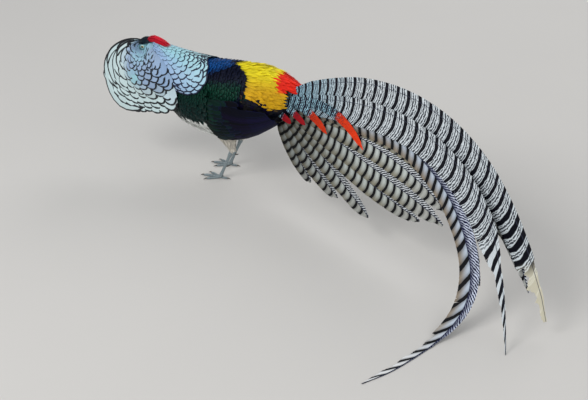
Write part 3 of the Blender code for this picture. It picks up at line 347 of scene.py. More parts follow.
@dataclass(frozen=True)
class Hood(Surface):
    """The spread cape: u is the angle of a place on the rim and v the share of the way there from the eye.

    The sheet is y = -(offset + slope dx) + curve r squared about its centre, with a low dome over the neck.
    The distance from the eye is clear + (reach - clear) share^pull, and close to the eye the sheet sinks
    to the cheek.
    """

    centre: Pair = (-0.15, 0.264)
    offset: float = 0.048
    slope: float = 0.2
    curve: float = 0.5
    reach: Table = (
        (60, 0.06), (90, 0.074), (126, 0.074), (154, 0.085), (172, 0.099), (191, 0.115), (208, 0.126),
        (223, 0.139), (237, 0.143), (250, 0.131), (265, 0.117), (290, 0.111), (325, 0.098), (360, 0.08),
        (400, 0.068), (440, 0.06),
    )
    dome_centre: Pair = (-0.145, 0.248)
    dome_half: Pair = (0.046, 0.043)
    dome_height: float = 0.0125
    eye_place: Pair = (-0.156, 0.315)
    clear: float = 0.007
    pull: float = 1.15
    sink: Point = (-0.388, 0.842, -0.405)
    sink_reach: Pair = (0.004, 0.03)
    cheek: float = -0.019
    plain: Table = ((248.0, 0.47, 10.0, 0.08),
                    (330.0, 0.8, 12.0, 0.16))    # angle, share and their reach: no rims
    step_u = 1.0
    step_v = 0.01

    def way(self, u: Array) -> tuple[Array, Array, Array]:
        """Steps in x and z from the eye's place to the rim at an angle, and their length."""
        reach = read(self.reach, u)[0]
        x = self.centre[0] + reach * cosine(u) - self.eye_place[0]
        z = self.centre[1] + reach * sine(u) - self.eye_place[1]
        return x, z, np.hypot(x, z)

    def at(self, u: Array, v: Array, lift: Any) -> Array:
        """Points of the sheet with its dome, sunk round the eye."""
        x, z, length = self.way(u)
        share = (self.clear + (length - self.clear) * np.maximum(v, 0.0)**self.pull) / length
        near = ease(*self.sink_reach, share * length)
        x, z = self.eye_place[0] + share * x, self.eye_place[1] + share * z
        dx, dz = x - self.centre[0], z - self.centre[1]
        y = -(self.offset + self.slope * dx) + self.curve * (dx * dx + dz * dz)
        top, bottom, half = read(NAPE.rows, x)
        level = np.clip((2 * z - top - bottom) / (top - bottom), -0.95, 0.95)
        y = y + ease(322.0, 365.0, u) * (-0.002 - half * np.sqrt(1.0 - level**2) - y)
        ring = np.hypot((x - self.dome_centre[0]) / self.dome_half[0],
                        (z - self.dome_centre[1]) / self.dome_half[1])
        swell = self.dome_height * np.clip(1.0 - ring**2 / 1.7, 0.0, 1.0)
        out = unit(stack(-self.slope + 2 * self.curve * dx, -1.0, 2 * self.curve * dz))
        deep = (1.0 - near) * (self.cheek - y) / self.sink[1]
        return (stack(x, y, z) + (swell + lift * (0.25 + 0.75 * near))[..., None] * out
                + deep[..., None] * np.array(self.sink))

    def size(self, u: Array) -> Array:
        """Scale of a feather at an angle: widest at the left, narrower where the way is short."""
        return np.clip(self.way(u)[2] / 0.115, 0.72, 1.1) * (1.0 + 0.3 * ease(250.0, 220.0, u))

    def skip(self, u: Array) -> Array:
        """One row in so many reaches an angle."""
        length = self.way(u)[2]
        return np.where(length < 0.048, 3, np.where(length < 0.08, 2, 1))

    def slant(self, u: Array) -> Array:
        """Turn of a feather's root about the eye, so that the feathers beside the neck hang down."""
        return -26.0 * ease(272.0, 312.0, u)

    def normal(self, u: Array, v: Array) -> Array:
        """Always turned to the near side."""
        way = super().normal(u, v)
        return way * np.where(way[..., 1:2] > 0, -1.0, 1.0)


@dataclass(frozen=True)
class NapeFan(Surface):
    """The cape's rear half: u is the direction from the crown and v the share of the way to the rim.

    u is 0 along the back, 90 down the near side and below 0 on the far side.
    """

    start: float = -0.146
    plain: Table = ()
    rim: Table = (
        (0, 0.131), (17, 0.146), (28, 0.151), (40, 0.131), (51, 0.104), (65, 0.076), (78, 0.06), (92, 0.051),
        (120, 0.046))
    step_u = 1.0
    step_v = 0.01

    def place(self, u: Array, v: Array) -> tuple[Array, Array]:
        """x and section angle of a place."""
        length = v * read(self.rim, np.abs(u))[0]
        x = np.maximum(self.start + length * cosine(u), -0.156)
        return x, 90.0 - np.degrees(length * sine(u) / read(NAPE.rows, x)[2])

    def at(self, u: Array, v: Array, lift: Any) -> Array:
        """Points over the nape's sections."""
        return NAPE.point(*self.place(u, v), lift)

    def size(self, u: Array) -> Array:
        """All alike."""
        return np.ones_like(u)

    def skip(self, u: Array) -> Array:
        """Every row reaches round."""
        return np.ones_like(u)

    def slant(self, u: Array) -> Array:
        """Turn of a feather's root about the crown, so that the side's feathers hang down."""
        return 20.0 * np.sign(u) * ease(6.0, 34.0, np.abs(u))

    def normal(self, u: Array, v: Array) -> Array:
        """The section's own normal."""
        return NAPE.normal(*self.place(u, v))


@dataclass(frozen=True)
class ThighTube(Surface):
    """The feathered thigh: u down it from 0 to 1, v the angle round it."""

    side: float
    top: Pair = (0.028, 0.15)
    joint: Pair = (0.052, 0.08)
    spread: float = 0.033
    rows: Table = (
        (0.0, 0.026, 0.016), (0.25, 0.026, 0.0165), (0.5, 0.0205, 0.0145),
        (0.75, 0.0135, 0.0105), (0.92, 0.0082, 0.0074), (1.0, 0.006, 0.0058))
    step_u = 0.02

    def at(self, u: Array, v: Array, lift: Any) -> Array:
        """Points of level ellipses about a leaning axis."""
        long_half, wide_half = read(self.rows, u)
        x, z = (low + u * (high - low) for low, high in zip(self.top, self.joint))
        return stack(x + (long_half + lift) * cosine(v),
                     self.side * self.spread + (wide_half + lift) * sine(v),
                     z + 0.25 * long_half * cosine(v))

    def normal(self, u: Array, v: Array) -> Array:
        """Turned away from the thigh's axis."""
        way = super().normal(u, v)
        return way * np.sign(np.sum(way * stack(cosine(v), sine(v), 0.0), -1, keepdims=True))


@dataclass(frozen=True)
class TailPlane:
    """The leaning plane that the tail is spread in: run along it, rise across it, face out of it."""

    root: Point = (0.139, 0.0, 0.21)
    yaw: float = 30.0
    lean: float = 0.5

    def axes(self) -> tuple[Array, Array, Array]:
        """Run, rise and face as unit vectors."""
        turn = math.radians(self.yaw)
        run = np.array([math.cos(turn), -math.sin(turn), 0.0])
        face = -unit(np.array([math.tan(turn), 1.0, -self.lean]))
        rise = np.cross(face, run)
        return run, rise * math.copysign(1.0, rise[2]), face

    def point(self, run_by: Array, rise_by: Array, face_by: Array) -> Array:
        """Points by their distances along the three axes."""
        steps = zip((run_by, rise_by, face_by), self.axes())
        return np.array(self.root) + sum(by[..., None] * axis for by, axis in steps)

    def path(self, length: float, heading: Sequence[float], pitch: Sequence[float], face_by: float,
             samples: int = 240) -> Array:
        """Points of a line whose heading in the plane and pitch out of it are polynomials of the share."""
        run, rise, face = self.axes()
        t = np.linspace(0.0, 1.0, samples)[:, None]
        turn = np.radians(sum(h * t**k for k, h in enumerate(heading)))
        lift = np.radians(sum(p * t**(k + 2) for k, p in enumerate(pitch)))
        way = np.cos(lift) * (np.cos(turn) * run + np.sin(turn) * rise) + np.sin(lift) * face
        points = np.zeros((samples, 3))
        points[1:] = np.cumsum(0.5 * (way[1:] + way[:-1]), axis=0) * length / (samples - 1)
        return np.array(self.root) + face_by * face + points


TAIL = TailPlane()


# ---- where a root lies on the skin's unwrap
class Unwrap:
    """The skin laid flat: along the body across the sheet, round it up the sheet, thighs in strips below."""

    FIRST_X = -0.2
    SPAN_X = 0.42
    MARGIN = 0.02
    WIDE = 0.96
    BODY_LOW = 0.26
    BODY_TALL = 0.72
    FAR_THIGH_LOW = 0.14
    THIGH_TALL = 0.1

    @classmethod
    def body(cls, points: Array) -> Array:
        """Places of body points: x across, the angle about the axis up, with the seam under the belly."""
        x, y, z = np.moveaxis(points, -1, 0)
        axis = np.where(x < -0.12, 0.289 - 0.6 * np.maximum(0.0, x + 0.15), read(TORSO.rows, x)[:2].mean(0))
        turn = (np.degrees(np.arctan2(z - axis, -y)) + 90.0) % 360.0
        return stack(cls.MARGIN + cls.WIDE * (x - cls.FIRST_X) / cls.SPAN_X,
                     cls.BODY_LOW + cls.BODY_TALL * turn / 360.0)

    @classmethod
    def thigh(cls, side: float, u: Array, v: Array) -> Array:
        """Places of thigh points: down the thigh across, round it up, in that side's strip."""
        low = cls.MARGIN if side < 0 else cls.FAR_THIGH_LOW
        return stack(cls.MARGIN + cls.WIDE * u, low + cls.THIGH_TALL * ((v % 360.0) / 360.0))

    @classmethod
    def cells(cls, columns: Array, row: int, across: int, up: int) -> Array:
        """Middles of cells in a row of a grid that follows the order of the feathers on the bird."""
        return stack((columns + 0.5) / across, (row + 0.5) / up)


# ---- meshes
def fetch(items: Any, name: str, each: int = 1, kind: type = np.int32) -> Array:
    """A mesh's values of one name, so many to an item."""
    found = np.zeros(len(items) * each, kind)
    items.foreach_get(name, found)
    return found


def grid_quads(rows: int, columns: int) -> Array:
    """Quads of a grid, wound so the normal is side x way."""
    a = (np.arange(rows - 1)[:, None] * columns + np.arange(columns - 1)).ravel()
    return stack(a, a + 1, a + columns + 1, a + columns)


class Kit:
    """Gathers the arrays of one piece and turns them into a mesh in one go."""

    def __init__(self, name: str, draws: int | Draws = 0) -> None:
        """An empty kit for the piece of that name, with a seed or another kit's draws."""
        self.name = name
        self.rng = np.random.default_rng(draws)
        self.points: list[Array] = []
        self.faces: list[Array] = []
        self.values: dict[str, list[Array]] = {}
        self.count = 0

    def add(self, points: Array, faces: Sequence[Array], **values: Any) -> None:
        """Adds points, faces numbered from the first of them, and values spread over the points.

        Args:
            points: in an array of any shape, three numbers each.
            faces: arrays of faces with as many corners each.
            values: numbers, or rows of numbers where an array has one more axis than the points.
        """
        shape = points.shape[:-1]
        count = math.prod(shape)
        self.points.append(points.reshape(-1, 3))
        self.faces += [f + self.count for f in faces]
        for key, value in values.items():
            value = np.asarray(value, float)
            if value.ndim > len(shape):
                value = np.broadcast_to(value, (*shape, value.shape[-1])).reshape(count, -1)
            else:
                value = np.broadcast_to(value, shape).reshape(count)
            self.values.setdefault(key, []).append(value)
        self.count += count

    def build(self, stance: "Stance", finish: bpy.types.Material) -> Item:
        """The finished object at the origin.

        Args:
            stance: moves the bird's coordinates to the frame's.
            finish: the material.

        Returns:
            The object, with UV maps for two-column values, attributes for the others, and sharp rims.
        """
        mesh = bpy.data.meshes.new(self.name)
        points = stance.place(np.concatenate(self.points))
        mesh.vertices.add(len(points))
        mesh.vertices.foreach_set("co", points.astype(np.float32).ravel())
        sizes = np.concatenate([np.full(len(f), f.shape[1]) for f in self.faces])
        loops = np.concatenate([f.ravel() for f in self.faces]).astype(np.int32)
        mesh.loops.add(len(loops))
        mesh.loops.foreach_set("vertex_index", loops)
        mesh.polygons.add(len(sizes))
        mesh.polygons.foreach_set("loop_start", (np.cumsum(sizes) - sizes).astype(np.int32))
        mesh.update(calc_edges=True)
        mesh.shade_smooth()
        for key, parts in self.values.items():
            self.store(mesh, key, np.concatenate(parts), loops)
        mesh.validate()
        item = bpy.data.objects.new(self.name, mesh)
        bpy.context.scene.collection.objects.link(item)
        item.data.materials.append(finish)
        return item

    @staticmethod
    def store(mesh: bpy.types.Mesh, key: str, value: Array, loops: Array) -> None:
        """Puts one value on the mesh: sharp rims, a number, a UV map read at the loops, or a colour."""
        if key == "rim":
            sharp = value[fetch(mesh.edges, "vertices", 2)].reshape(-1, 2).min(1) > 0.5
            mesh.attributes.new("sharp_edge", "BOOLEAN", "EDGE").data.foreach_set("value", sharp)
        elif value.ndim == 1:
            mesh.attributes.new(key, "FLOAT", "POINT").data.foreach_set("value", value.astype(np.float32))
        elif value.shape[1] == 2:
            mesh.uv_layers.new(name=key).data.foreach_set("uv", value[loops].astype(np.float32).ravel())
        else:
            rgba = np.concatenate([value, np.ones((len(value), 1))], 1).astype(np.float32)
            mesh.attributes.new(key, "FLOAT_COLOR", "POINT").data.foreach_set("color", rgba.ravel())


@dataclass(frozen=True)
class Stance:
    """Where the bird's own coordinates lie in the frame's."""

    shift: tuple[float, float, float]

    @classmethod
    def from_frame(cls) -> "Stance":
        """Read from the left eye's box, the eye's own place being known."""
        low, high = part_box("eye_left")
        middle = (np.array(low) + np.array(high)) / 2
        return cls(tuple(middle - EYE * (1, -1, 1)))

    def place(self, points: Array) -> Array:
        """Points of the bird as points of the frame, none below the floor."""
        moved = points + np.array(self.shift)
        moved[..., 2] = np.maximum(moved[..., 2], 0.0)
        return moved


@dataclass(frozen=True)
class Blade:
    """The cut of a short feather: a domed vane on a curved line with a flat underside.

    Half width over the greatest one is base + (1 - base) sin(90 t / widest) up to the widest place, then the
    superellipse (1 - r^power)^(1/power) of the way r from there to the tip.
    """

    rows: tuple[float, ...] = (0.0, 0.3, 0.55, 0.76, 0.91, 1.0)
    columns: tuple[float, ...] = (-1.0, -0.6, 0.0, 0.6, 1.0)
    widest: float = 0.5
    base: float = 0.35
    power: float = 2.0
    tip: float = 0.1
    camber: float = 0.16
    back: bool = False          # a middle line on the underside, so that it shows the vane's colours

    @property
    def wide(self) -> int:
        """Vertices in a row."""
        return len(self.columns) + self.back

    def width(self, t: Array) -> Array:
        """Half width at shares t of the length, over the greatest."""
        rise = self.base + (1.0 - self.base) * np.sin(np.pi / 2 * np.minimum(t / self.widest, 1.0))
        r = np.clip((t - self.widest) / (1.0 - self.widest), 0.0, 1.0)
        return np.where(t < self.widest, rise,
                        np.maximum((1.0 - r**self.power)**(1.0 / self.power), self.tip))

    def line(self, start: Array, end: Array) -> tuple[Array, Array]:
        """The two parameters of each feather's rows, evenly from start to end."""
        ends = start[:, None] + np.array(self.rows)[:, None] * (end - start)[:, None]
        return ends[..., 0], ends[..., 1]

    def faces(self, count: int) -> list[Array]:
        """Faces of a number of feathers: the vane, the underside and the two ends."""
        rows, columns, wide = len(self.rows), len(self.columns), self.wide
        row = np.arange(rows - 1)[:, None] * wide
        top = (row + np.arange(columns - 1))[..., None] + (0, 1, 1 + wide, wide)
        under = row + (0, wide, wide + columns - 1, columns - 1)
        ring = np.arange(columns)
        if self.back:
            under = np.stack([row + (0, wide, wide + columns, columns),
                              row + (columns, wide + columns, wide + columns - 1, columns - 1)])
            ring = np.append(ring, columns)
        root = np.append(ring[:columns][::-1], ring[columns:])
        start = (np.arange(count) * rows * wide)[:, None, None]
        return [(part.reshape(1, -1, part.shape[-1]) + start).reshape(-1, part.shape[-1])
                for part in (top, under, root, (rows - 1) * wide + ring)]

    def cut(self, kit: Kit, centres: Array, ups: Array, halves: Any, tones: Array, places: Array,
            seeds: Array, patch: Pair = (0.003, 0.003)) -> None:
        """Adds feathers to a kit.

        Args:
            kit: the piece.
            centres: middle lines, a point for each feather and row.
            ups: outward directions at the same points.
            halves: greatest half widths.
            tones: a colour for each feather, or for each feather and row.
            places: where each root lies on the unwrap.
            seeds: a number from 0 to 1 for each feather.
            patch: size of a feather's patch on the unwrap.
        """
        t, s = np.array(self.rows), np.array(self.columns + (0.0,) * self.back)
        sides, ups = square(np.gradient(centres, t, axis=1), ups)
        length = np.linalg.norm(np.diff(centres, axis=1), axis=-1).sum(1)[:, None, None]
        half = (halves[:, None] * self.width(t))[..., None]
        drop = self.camber * half * np.array([c**2 for c in self.columns] + [1.0] * self.back)
        flat = stack(s * self.width(t)[:, None] * 0.5, t[:, None] - 0.5) * patch
        t = t[:, None]
        outer = (np.abs(s) > 0.999) | (t > 0.999)
        edge = np.minimum(half * (1.0 - np.abs(s)), length * (1.0 - t) + 1e-5)
        kit.add(centres[:, :, None] + (half * s)[..., None] * sides[:, :, None]
                - drop[..., None] * ups[:, :, None],
                self.faces(len(centres)), rim=outer | (t < 0.001), edge=np.where(outer, 0.0, edge), reach=t,
                seed=seeds[:, None, None], tone=tones.reshape(len(centres), -1, 1, 3),
                vane=stack(half * s, length * t), OFBake=places[:, None, None] + flat)


@dataclass(frozen=True)
class Lay:
    """How short feathers lie on a surface: lifts of root and tip, how they bow, wander and tilt."""

    root_lift: float = -0.0012
    tip_lift: float = 0.0024
    bow: float = 0.0
    lift_spread: float = 0.15
    tilt: float = 6.0

    def over(self, surface: Surface, start: Array, end: Array, blade: Blade,
             rng: Draws) -> tuple[Array, Array]:
        """Middle lines and outward directions of feathers from start to end.

        Each line runs evenly between its parameters, lifted from root to tip along a straight ramp with a
        bow of t(1 - t).

        Args:
            surface: what they lie on.
            start: parameters of the roots, two a feather.
            end: parameters of the tips.
            blade: the cut, for its rows.
            rng: the draws.

        Returns:
            Points and directions, one for each feather and row.
        """
        t = np.array(blade.rows)
        vary = 1.0 + self.lift_spread * rng.uniform(-1, 1, len(start))[:, None]
        lift = self.root_lift + (self.tip_lift * vary - self.root_lift) * t + self.bow * 4 * t * (1 - t)
        centres = surface.point(*blade.line(start, end), lift)
        ups = surface.normal(*blade.line(start, end))
        sides = unit(np.cross(np.gradient(centres, t, axis=1), ups))
        turn = (self.tilt * rng.uniform(-1, 1, len(start)))[:, None, None]
        return centres, ups * cosine(turn) + sides * sine(turn)


def tiles(surface: Surface, rows: Array, span: Span, gap: float, rng: Draws,
          jitter: float = 0.25) -> Array:
    """Staggered roots in rows across a surface, evenly spaced by distance.

    Args:
        surface: a surface whose first parameter names the row.
        rows: that parameter for each row.
        span: gives a row's first and last second parameter.
        gap: distance between neighbours in a row.
        rng: the draws.
        jitter: how far a root wanders, over the spacing.

    Returns:
        Two parameters for each root.
    """
    found = []
    for k, row in enumerate(rows):
        fine = np.linspace(*span(float(row)), 180)
        run = distances(surface.point(row, fine))
        count = max(2, int(round(run[-1] / gap)))
        at = (np.arange(count) + (0.25 if k % 2 else 0.75) + jitter * rng.uniform(-1, 1, count)) / count
        v = np.interp(at * run[-1], run, fine)
        found.append(stack(row + jitter * float(rows[1] - rows[0]) * rng.uniform(-0.5, 0.5, count), v))
    return np.concatenate(found)


@dataclass(frozen=True)
class Ribbon:
    """The cut of a long feather: rows of barbs that sweep forward from a raised shaft, split here and there.

    A vertex of row u and column v lies at u + sweep |v| half along the path and v half across it, and the
    vane falls from the shaft by camber |v|^1.3 half.
    """

    columns: tuple[float, ...] = (
        -1.0, -0.8, -0.58, -0.36, -0.17, -0.05, 0.0, 0.05, 0.17, 0.36, 0.58, 0.8, 1.0)
    step: float = 0.0032
    slit: float = 0.0009
    sweep: float = 0.45
    camber: float = 0.05
    ridge: float = 0.0009
    thick: float = 0.0006
    splits: float = 16.0
    fray: float = 0.06
    tatter: float = 0.45
    shaft: float = 0.0
    inner: Table = ((0.0, 1.0), (1.0, 1.0))     # share, width kept by the inner web

    def rows(self, start: float, length: float, rng: Draws) -> tuple[Array, Array]:
        """Distances of the rows, and how much of its width each keeps on either side of the shaft."""
        count = max(8, int((length - start) / self.step))
        u = np.linspace(start, length, count)
        keep = 1.0 - 0.035 * rng.random((count, 2))
        at = rng.permutation(np.arange(3, count - 3, 3))[:int(self.splits * (length - start))]
        deep = 0.35 + 0.5 * rng.random(len(at))
        u[at - 1], u[at + 1] = u[at] - self.slit, u[at] + self.slit
        keep[at, rng.integers(0, 2, len(at))] = deep
        frayed = u > length - self.fray * length
        worn = rng.random((int(frayed.sum()) // 4 + 2, 2))
        at = np.linspace(0, len(worn) - 1, int(frayed.sum()))
        torn = np.stack([np.interp(at, np.arange(len(worn)), side) for side in worn.T], -1)
        keep[frayed] *= 1.0 - self.tatter * (0.7 * torn + 0.3 * rng.random(torn.shape))
        return u, keep

    def cut(self, kit: Kit, path: Array, ups: Array, outline: Callable[[Array], Array], pattern: Pattern,
            strip: Pair, start: float, tone: Pattern) -> None:
        """Adds one long feather to a kit.

        Args:
            kit: the piece.
            path: points of the shaft.
            ups: outward directions at the same points.
            outline: half width at a share of the length.
            pattern: bar number at a distance along and a place across.
            strip: lower edge and height of its strip on the unwrap, which has a metre to its width.
            start: distance along the path of the first row.
            tone: colour at a share of the length and a place across.
        """
        reach = distances(path)
        u, keep = self.rows(start, reach[-1], kit.rng)
        v, share = np.array(self.columns), u / reach[-1]
        half = outline(share)[:, None]
        keep[:, 0] *= np.interp(share, *np.array(self.inner).T)
        held = np.where(v < 0, keep[:, :1], keep[:, 1:])
        web = v * np.where(v < 0, 1.0 + self.shaft, 1.0 - self.shaft)
        across = half * (self.shaft + web * np.where(np.abs(v) > 0.1, held, 1.0))
        seat = across / np.maximum(half, 1e-5)
        off = np.abs(seat - self.shaft)
        place = np.minimum(u[:, None] + self.sweep * off * half, reach[-1])
        share = place / reach[-1]
        sides, ups = square(np.gradient(path, axis=0), np.broadcast_to(ups, path.shape))
        middle, sides, ups = (stack(*(np.interp(place, reach, column) for column in values.T))
                              for values in (path, sides, ups))
        shaft = self.ridge * (np.abs(v) < 0.02)
        top = middle + across[..., None] * sides - (self.camber * half * off**1.3 - shaft)[..., None] * ups
        below = top - (self.thick + shaft)[:, None] * ups
        rows, columns = place.shape
        lower = np.arange(rows * columns).reshape(rows, columns)
        inner = np.arange((rows - 2) * (columns - 2)).reshape(rows - 2, columns - 2)
        lower[1:-1, 1:-1] = rows * columns + inner
        quads = grid_quads(rows, columns)
        rim = (np.abs(v) > 0.999) | (u[:, None] < u[0] + 1e-9) | (u[:, None] > u[-1] - 1e-9)

        def both(values: Array, under: Array | None = None) -> Array:
            """Values of the top face, then of the underside's inner vertices."""
            under = values if under is None else under
            return np.concatenate([part.reshape(-1, *values.shape[2:])
                                   for part in (values, under[1:-1, 1:-1])])

        kit.add(both(top, below), [quads, lower.ravel()[quads][:, ::-1]], rim=both(rim, rim & False),
                edge=both(half * held * (1.0 - np.abs(v))), reach=both(share), seed=kit.rng.random(),
                tone=both(tone(share, seat)), bars=both(stack(pattern(place, seat), seat)),
                vane=both(stack(across - self.shaft * half, place)),
                OFBake=both(stack(0.01 + place, strip[0] + strip[1] * (0.5 + 0.45 * seat))))


# ---- shader arithmetic
Value = Union["Wire", float, int]


def joins(operation: str, words: str, first: bool = True) -> Callable[..., "Wire"]:
    """A method of Wire that makes a Math node, with the wire before or after the other numbers."""
    def method(self: "Wire", *others: Value) -> "Wire":
        """Replaced by the words given."""
        return self.sheet.math(operation, *((self, *others) if first else (*others, self)))
    method.__doc__ = words
    return method


class Wire:
    """A number's socket that takes Python's operators."""

    __add__ = __radd__ = joins("ADD", "This plus the other.")
    __mul__ = __rmul__ = joins("MULTIPLY", "This times the other.")
    __sub__ = joins("SUBTRACT", "This minus the other.")
    __rsub__ = joins("SUBTRACT", "The other minus this.", False)
    __truediv__ = joins("DIVIDE", "This over the other.")
    __pow__ = joins("POWER", "This to the other.")
    size = joins("ABSOLUTE", "Without its sign.")
    wave = joins("SINE", "Sine, in radians.")
    part = joins("FRACT", "What is past the whole number below.")

    def __init__(self, sheet: "Sheet", socket: Any) -> None:
        """Wraps an output socket of a sheet's node."""
        self.sheet, self.socket = sheet, socket

    def ramp(self, low: float, high: float, first: float = 0.0, last: float = 1.0) -> "Wire":
        """Smooth step from first at low to last at high."""
        node = self.sheet.node("ShaderNodeMapRange", {"interpolation_type": "SMOOTHSTEP", "clamp": True},
                               {"Value": self, "From Min": low, "From Max": high, "To Min": first,
                                "To Max": last})
        return Wire(self.sheet, node.outputs["Result"])

    def above(self, level: float, blur: float) -> "Wire":
        """1 above a level and 0 below it, blurred."""
        return self.ramp(level - blur, level + blur)

    def middle(self) -> "Wire":
        """How far the part past the whole number is from a half."""
        return (self.part() - 0.5).size()


Tint = Union[Any, Colour]


class Sheet:
    """A material's nodes, made by one method."""

    def __init__(self, name: str) -> None:
        """A new material with its surface shader and output."""
        self.material = bpy.data.materials.new(name)
        self.material.use_nodes = True
        self.tree = self.material.node_tree
        self.tree.nodes.clear()
        self.shader = self.tree.nodes.new("ShaderNodeBsdfPrincipled")
        out = self.tree.nodes.new("ShaderNodeOutputMaterial")
        self.tree.links.new(self.shader.outputs["BSDF"], out.inputs["Surface"])

    def node(self, kind: str, settings: dict[str, Any], inputs: dict[Any, Any]) -> bpy.types.Node:
        """A node with its settings, and its sockets' values or links by socket name or number."""
        node = self.tree.nodes.new(kind)
        for key, value in settings.items():
            setattr(node, key, value)
        for key, value in inputs.items():
            self.put(node.inputs[key], value)
        return node

    def put(self, socket: Any, value: Any) -> None:
        """Links or sets one socket."""
        value = value.socket if isinstance(value, Wire) else value
        if isinstance(value, bpy.types.NodeSocket):
            self.tree.links.new(value, socket)
        elif isinstance(value, tuple) and socket.type == "RGBA":
            socket.default_value = (*value, 1.0)
        else:
            socket.default_value = value

    def math(self, operation: str, *values: Value) -> Wire:
        """A Math node."""
        return Wire(self, self.node("ShaderNodeMath", {"operation": operation},
                                    dict(enumerate(values))).outputs[0])

    def number(self, name: str) -> Wire:
        """A number stored on the mesh."""
        return Wire(self, self.node("ShaderNodeAttribute", {"attribute_name": name}, {}).outputs["Fac"])

    def tone(self) -> Any:
        """The colour stored on the mesh."""
        return self.node("ShaderNodeAttribute", {"attribute_name": "tone"}, {}).outputs["Color"]

    def split(self, vector: Any) -> list[Wire]:
        """The three numbers of a vector."""
        return [Wire(self, out) for out in self.node("ShaderNodeSeparateXYZ", {}, {0: vector}).outputs]

    def flat(self, name: str) -> tuple[Wire, Wire, Any]:
        """The two numbers of a UV map, and its vector."""
        vector = self.node("ShaderNodeUVMap", {"uv_map": name}, {}).outputs["UV"]
        return *self.split(vector)[:2], vector

    def barbs(self, slope: float, count: float) -> tuple[Wire, Wire, Any, Wire]:
        """Distance from the shaft and along it, the vane's vector, and a wave along slanted barbs."""
        across, along, vector = self.flat("vane")
        return across.size(), along, vector, ((along + across.size() * -slope) * count).wave()

    def place(self) -> Any:
        """Object coordinates."""
        return self.node("ShaderNodeTexCoord", {}, {}).outputs["Object"]

    def noise(self, vector: Any, scale: float, detail: float = 2.0) -> Wire:
        """Noise from 0 to 1."""
        node = self.node("ShaderNodeTexNoise", {},
                         {"Vector": vector, "Scale": scale, "Detail": detail, "Roughness": 0.5})
        return Wire(self, node.outputs["Fac"])

    def sway(self, vector: Any, scale: float, by: float, detail: float = 2.0) -> Wire:
        """Noise from -by/2 to by/2."""
        return (self.noise(vector, scale, detail) - 0.5) * by

    def mix(self, a: Tint, b: Tint, share: Value, way: str = "MIX") -> Any:
        """Colours a and b mixed by a share."""
        return self.node("ShaderNodeMix", {"data_type": "RGBA", "blend_type": way, "clamp_factor": True},
                         {0: share, 6: a, 7: b}).outputs[2]

    def gain(self, colour: Tint, by: Value) -> Any:
        """A colour times a number."""
        return self.node("ShaderNodeVectorMath", {"operation": "SCALE"}, {0: colour, "Scale": by}).outputs[0]

    def bump(self, height: Wire, strength: float, distance: float) -> Any:
        """A normal from a height."""
        return self.node("ShaderNodeBump", {},
                         {"Height": height, "Strength": strength, "Distance": distance}).outputs[0]


# ---- finishes
SHORT_BARBS = 5200.0        # radians a metre along the barbs' wave
LONG_BARBS = 3600.0


@dataclass(frozen=True)
class Finish:
    """A finish by name; a kind of finish paints a sheet and gives its surface shader's sockets."""

    name: str

    def paint(self, sheet: Sheet) -> dict[str, Any]:
        """The surface shader's sockets, with underscores for the spaces in their names."""
        raise NotImplementedError

    def make(self) -> bpy.types.Material:
        """The material."""
        sheet = Sheet(self.name)
        for key, value in self.paint(sheet).items():
            sheet.put(sheet.shader.inputs[key.replace("_", " ")], value)
        return sheet.material


@dataclass(frozen=True)
class Scaled(Finish):
    """Short feathers: the stored colour, duller at the root, with a brighter band and a dark rim outside."""

    rim: Colour = Livery.RIM
    rim_width: float = 0.0014
    rim_share: float = 1.0
    # band and its share: the feathers' green painted brighter near the rim as a sheen
    band: float = 4.0
    sheen_band_share: float = 0.0
    root: float = 0.55
    rough: float = 0.55
    metal: float = 0.0
    vary: float = 0.25
    fine: float = 0.25
    sheen: float = 0.0
    gloss: float = 0.3

    def paint(self, sheet: Sheet) -> dict[str, Any]:
        """Root shade, band, rim and shaft, in this order."""
        edge, reach, seed = (sheet.number(name) for name in ("edge", "reach", "seed"))
        off, _, vector, barb = sheet.barbs(0.8, SHORT_BARBS)
        light = reach.ramp(0.0, 0.75, self.root, 1.0) * (1.0 + (seed - 0.5) * self.vary)
        colour = sheet.gain(sheet.tone(), light * (1.0 + barb * 0.28 * self.fine))
        inside = edge + reach.ramp(0.3, 0.58, 0.01, 0.0)
        # The band brightens the feathers' own green near the rim: a painted iridescent sheen.
        colour = sheet.mix(colour, sheet.gain(sheet.tone(), self.band),
                           inside.ramp(self.rim_width, self.rim_width * 2.6, self.sheen_band_share, 0.0))
        ragged = inside + barb * 0.00012 + sheet.sway(vector, 420.0, 0.0007)
        colour = sheet.mix(colour, self.rim,
                           ragged.ramp(self.rim_width * 0.75, self.rim_width * 1.15, self.rim_share, 0.0))
        colour = sheet.mix(colour, sheet.gain(colour, 0.55), off.ramp(0.00015, 0.00045, 0.3, 0.0))
        return dict(Base_Color=colour, Roughness=self.rough, Metallic=self.metal,
                    Specular_IOR_Level=self.gloss, Sheen_Weight=self.sheen,
                    Normal=sheet.bump(barb, self.fine, 0.00012))


@dataclass(frozen=True)
class Strands(Finish):
    """Hair-like feathers: the stored colour with fine lines along them."""

    rough: float = 0.6
    vary: float = 0.5
    root: float = 0.7

    def paint(self, sheet: Sheet) -> dict[str, Any]:
        """The colour, duller at the root, lined and bumped."""
        across, along, _ = sheet.flat("vane")
        line = (across * 9000.0 + along * 260.0).wave()
        rooted = sheet.number("reach").ramp(0.0, 0.7, self.root, 1.0)
        light = rooted * (1.0 + (sheet.number("seed") - 0.5) * self.vary)
        return dict(Base_Color=sheet.gain(sheet.tone(), light * (1.0 + line * 0.14)), Roughness=self.rough,
                    Specular_IOR_Level=0.25, Normal=sheet.bump(line, 0.3, 0.0002))


def wavy(sheet: Sheet, q: Wire, vector: Any, lines: float) -> Wire:
    """Fine broken wavy lines: a number of them to each bar, bent by noise, 1 on a line."""
    line = (q * lines + sheet.sway(vector, 150.0, 1.3)).middle().ramp(0.235, 0.315, 1.0, 0.0)
    return line * sheet.noise(vector, 240.0).ramp(0.31, 0.4)


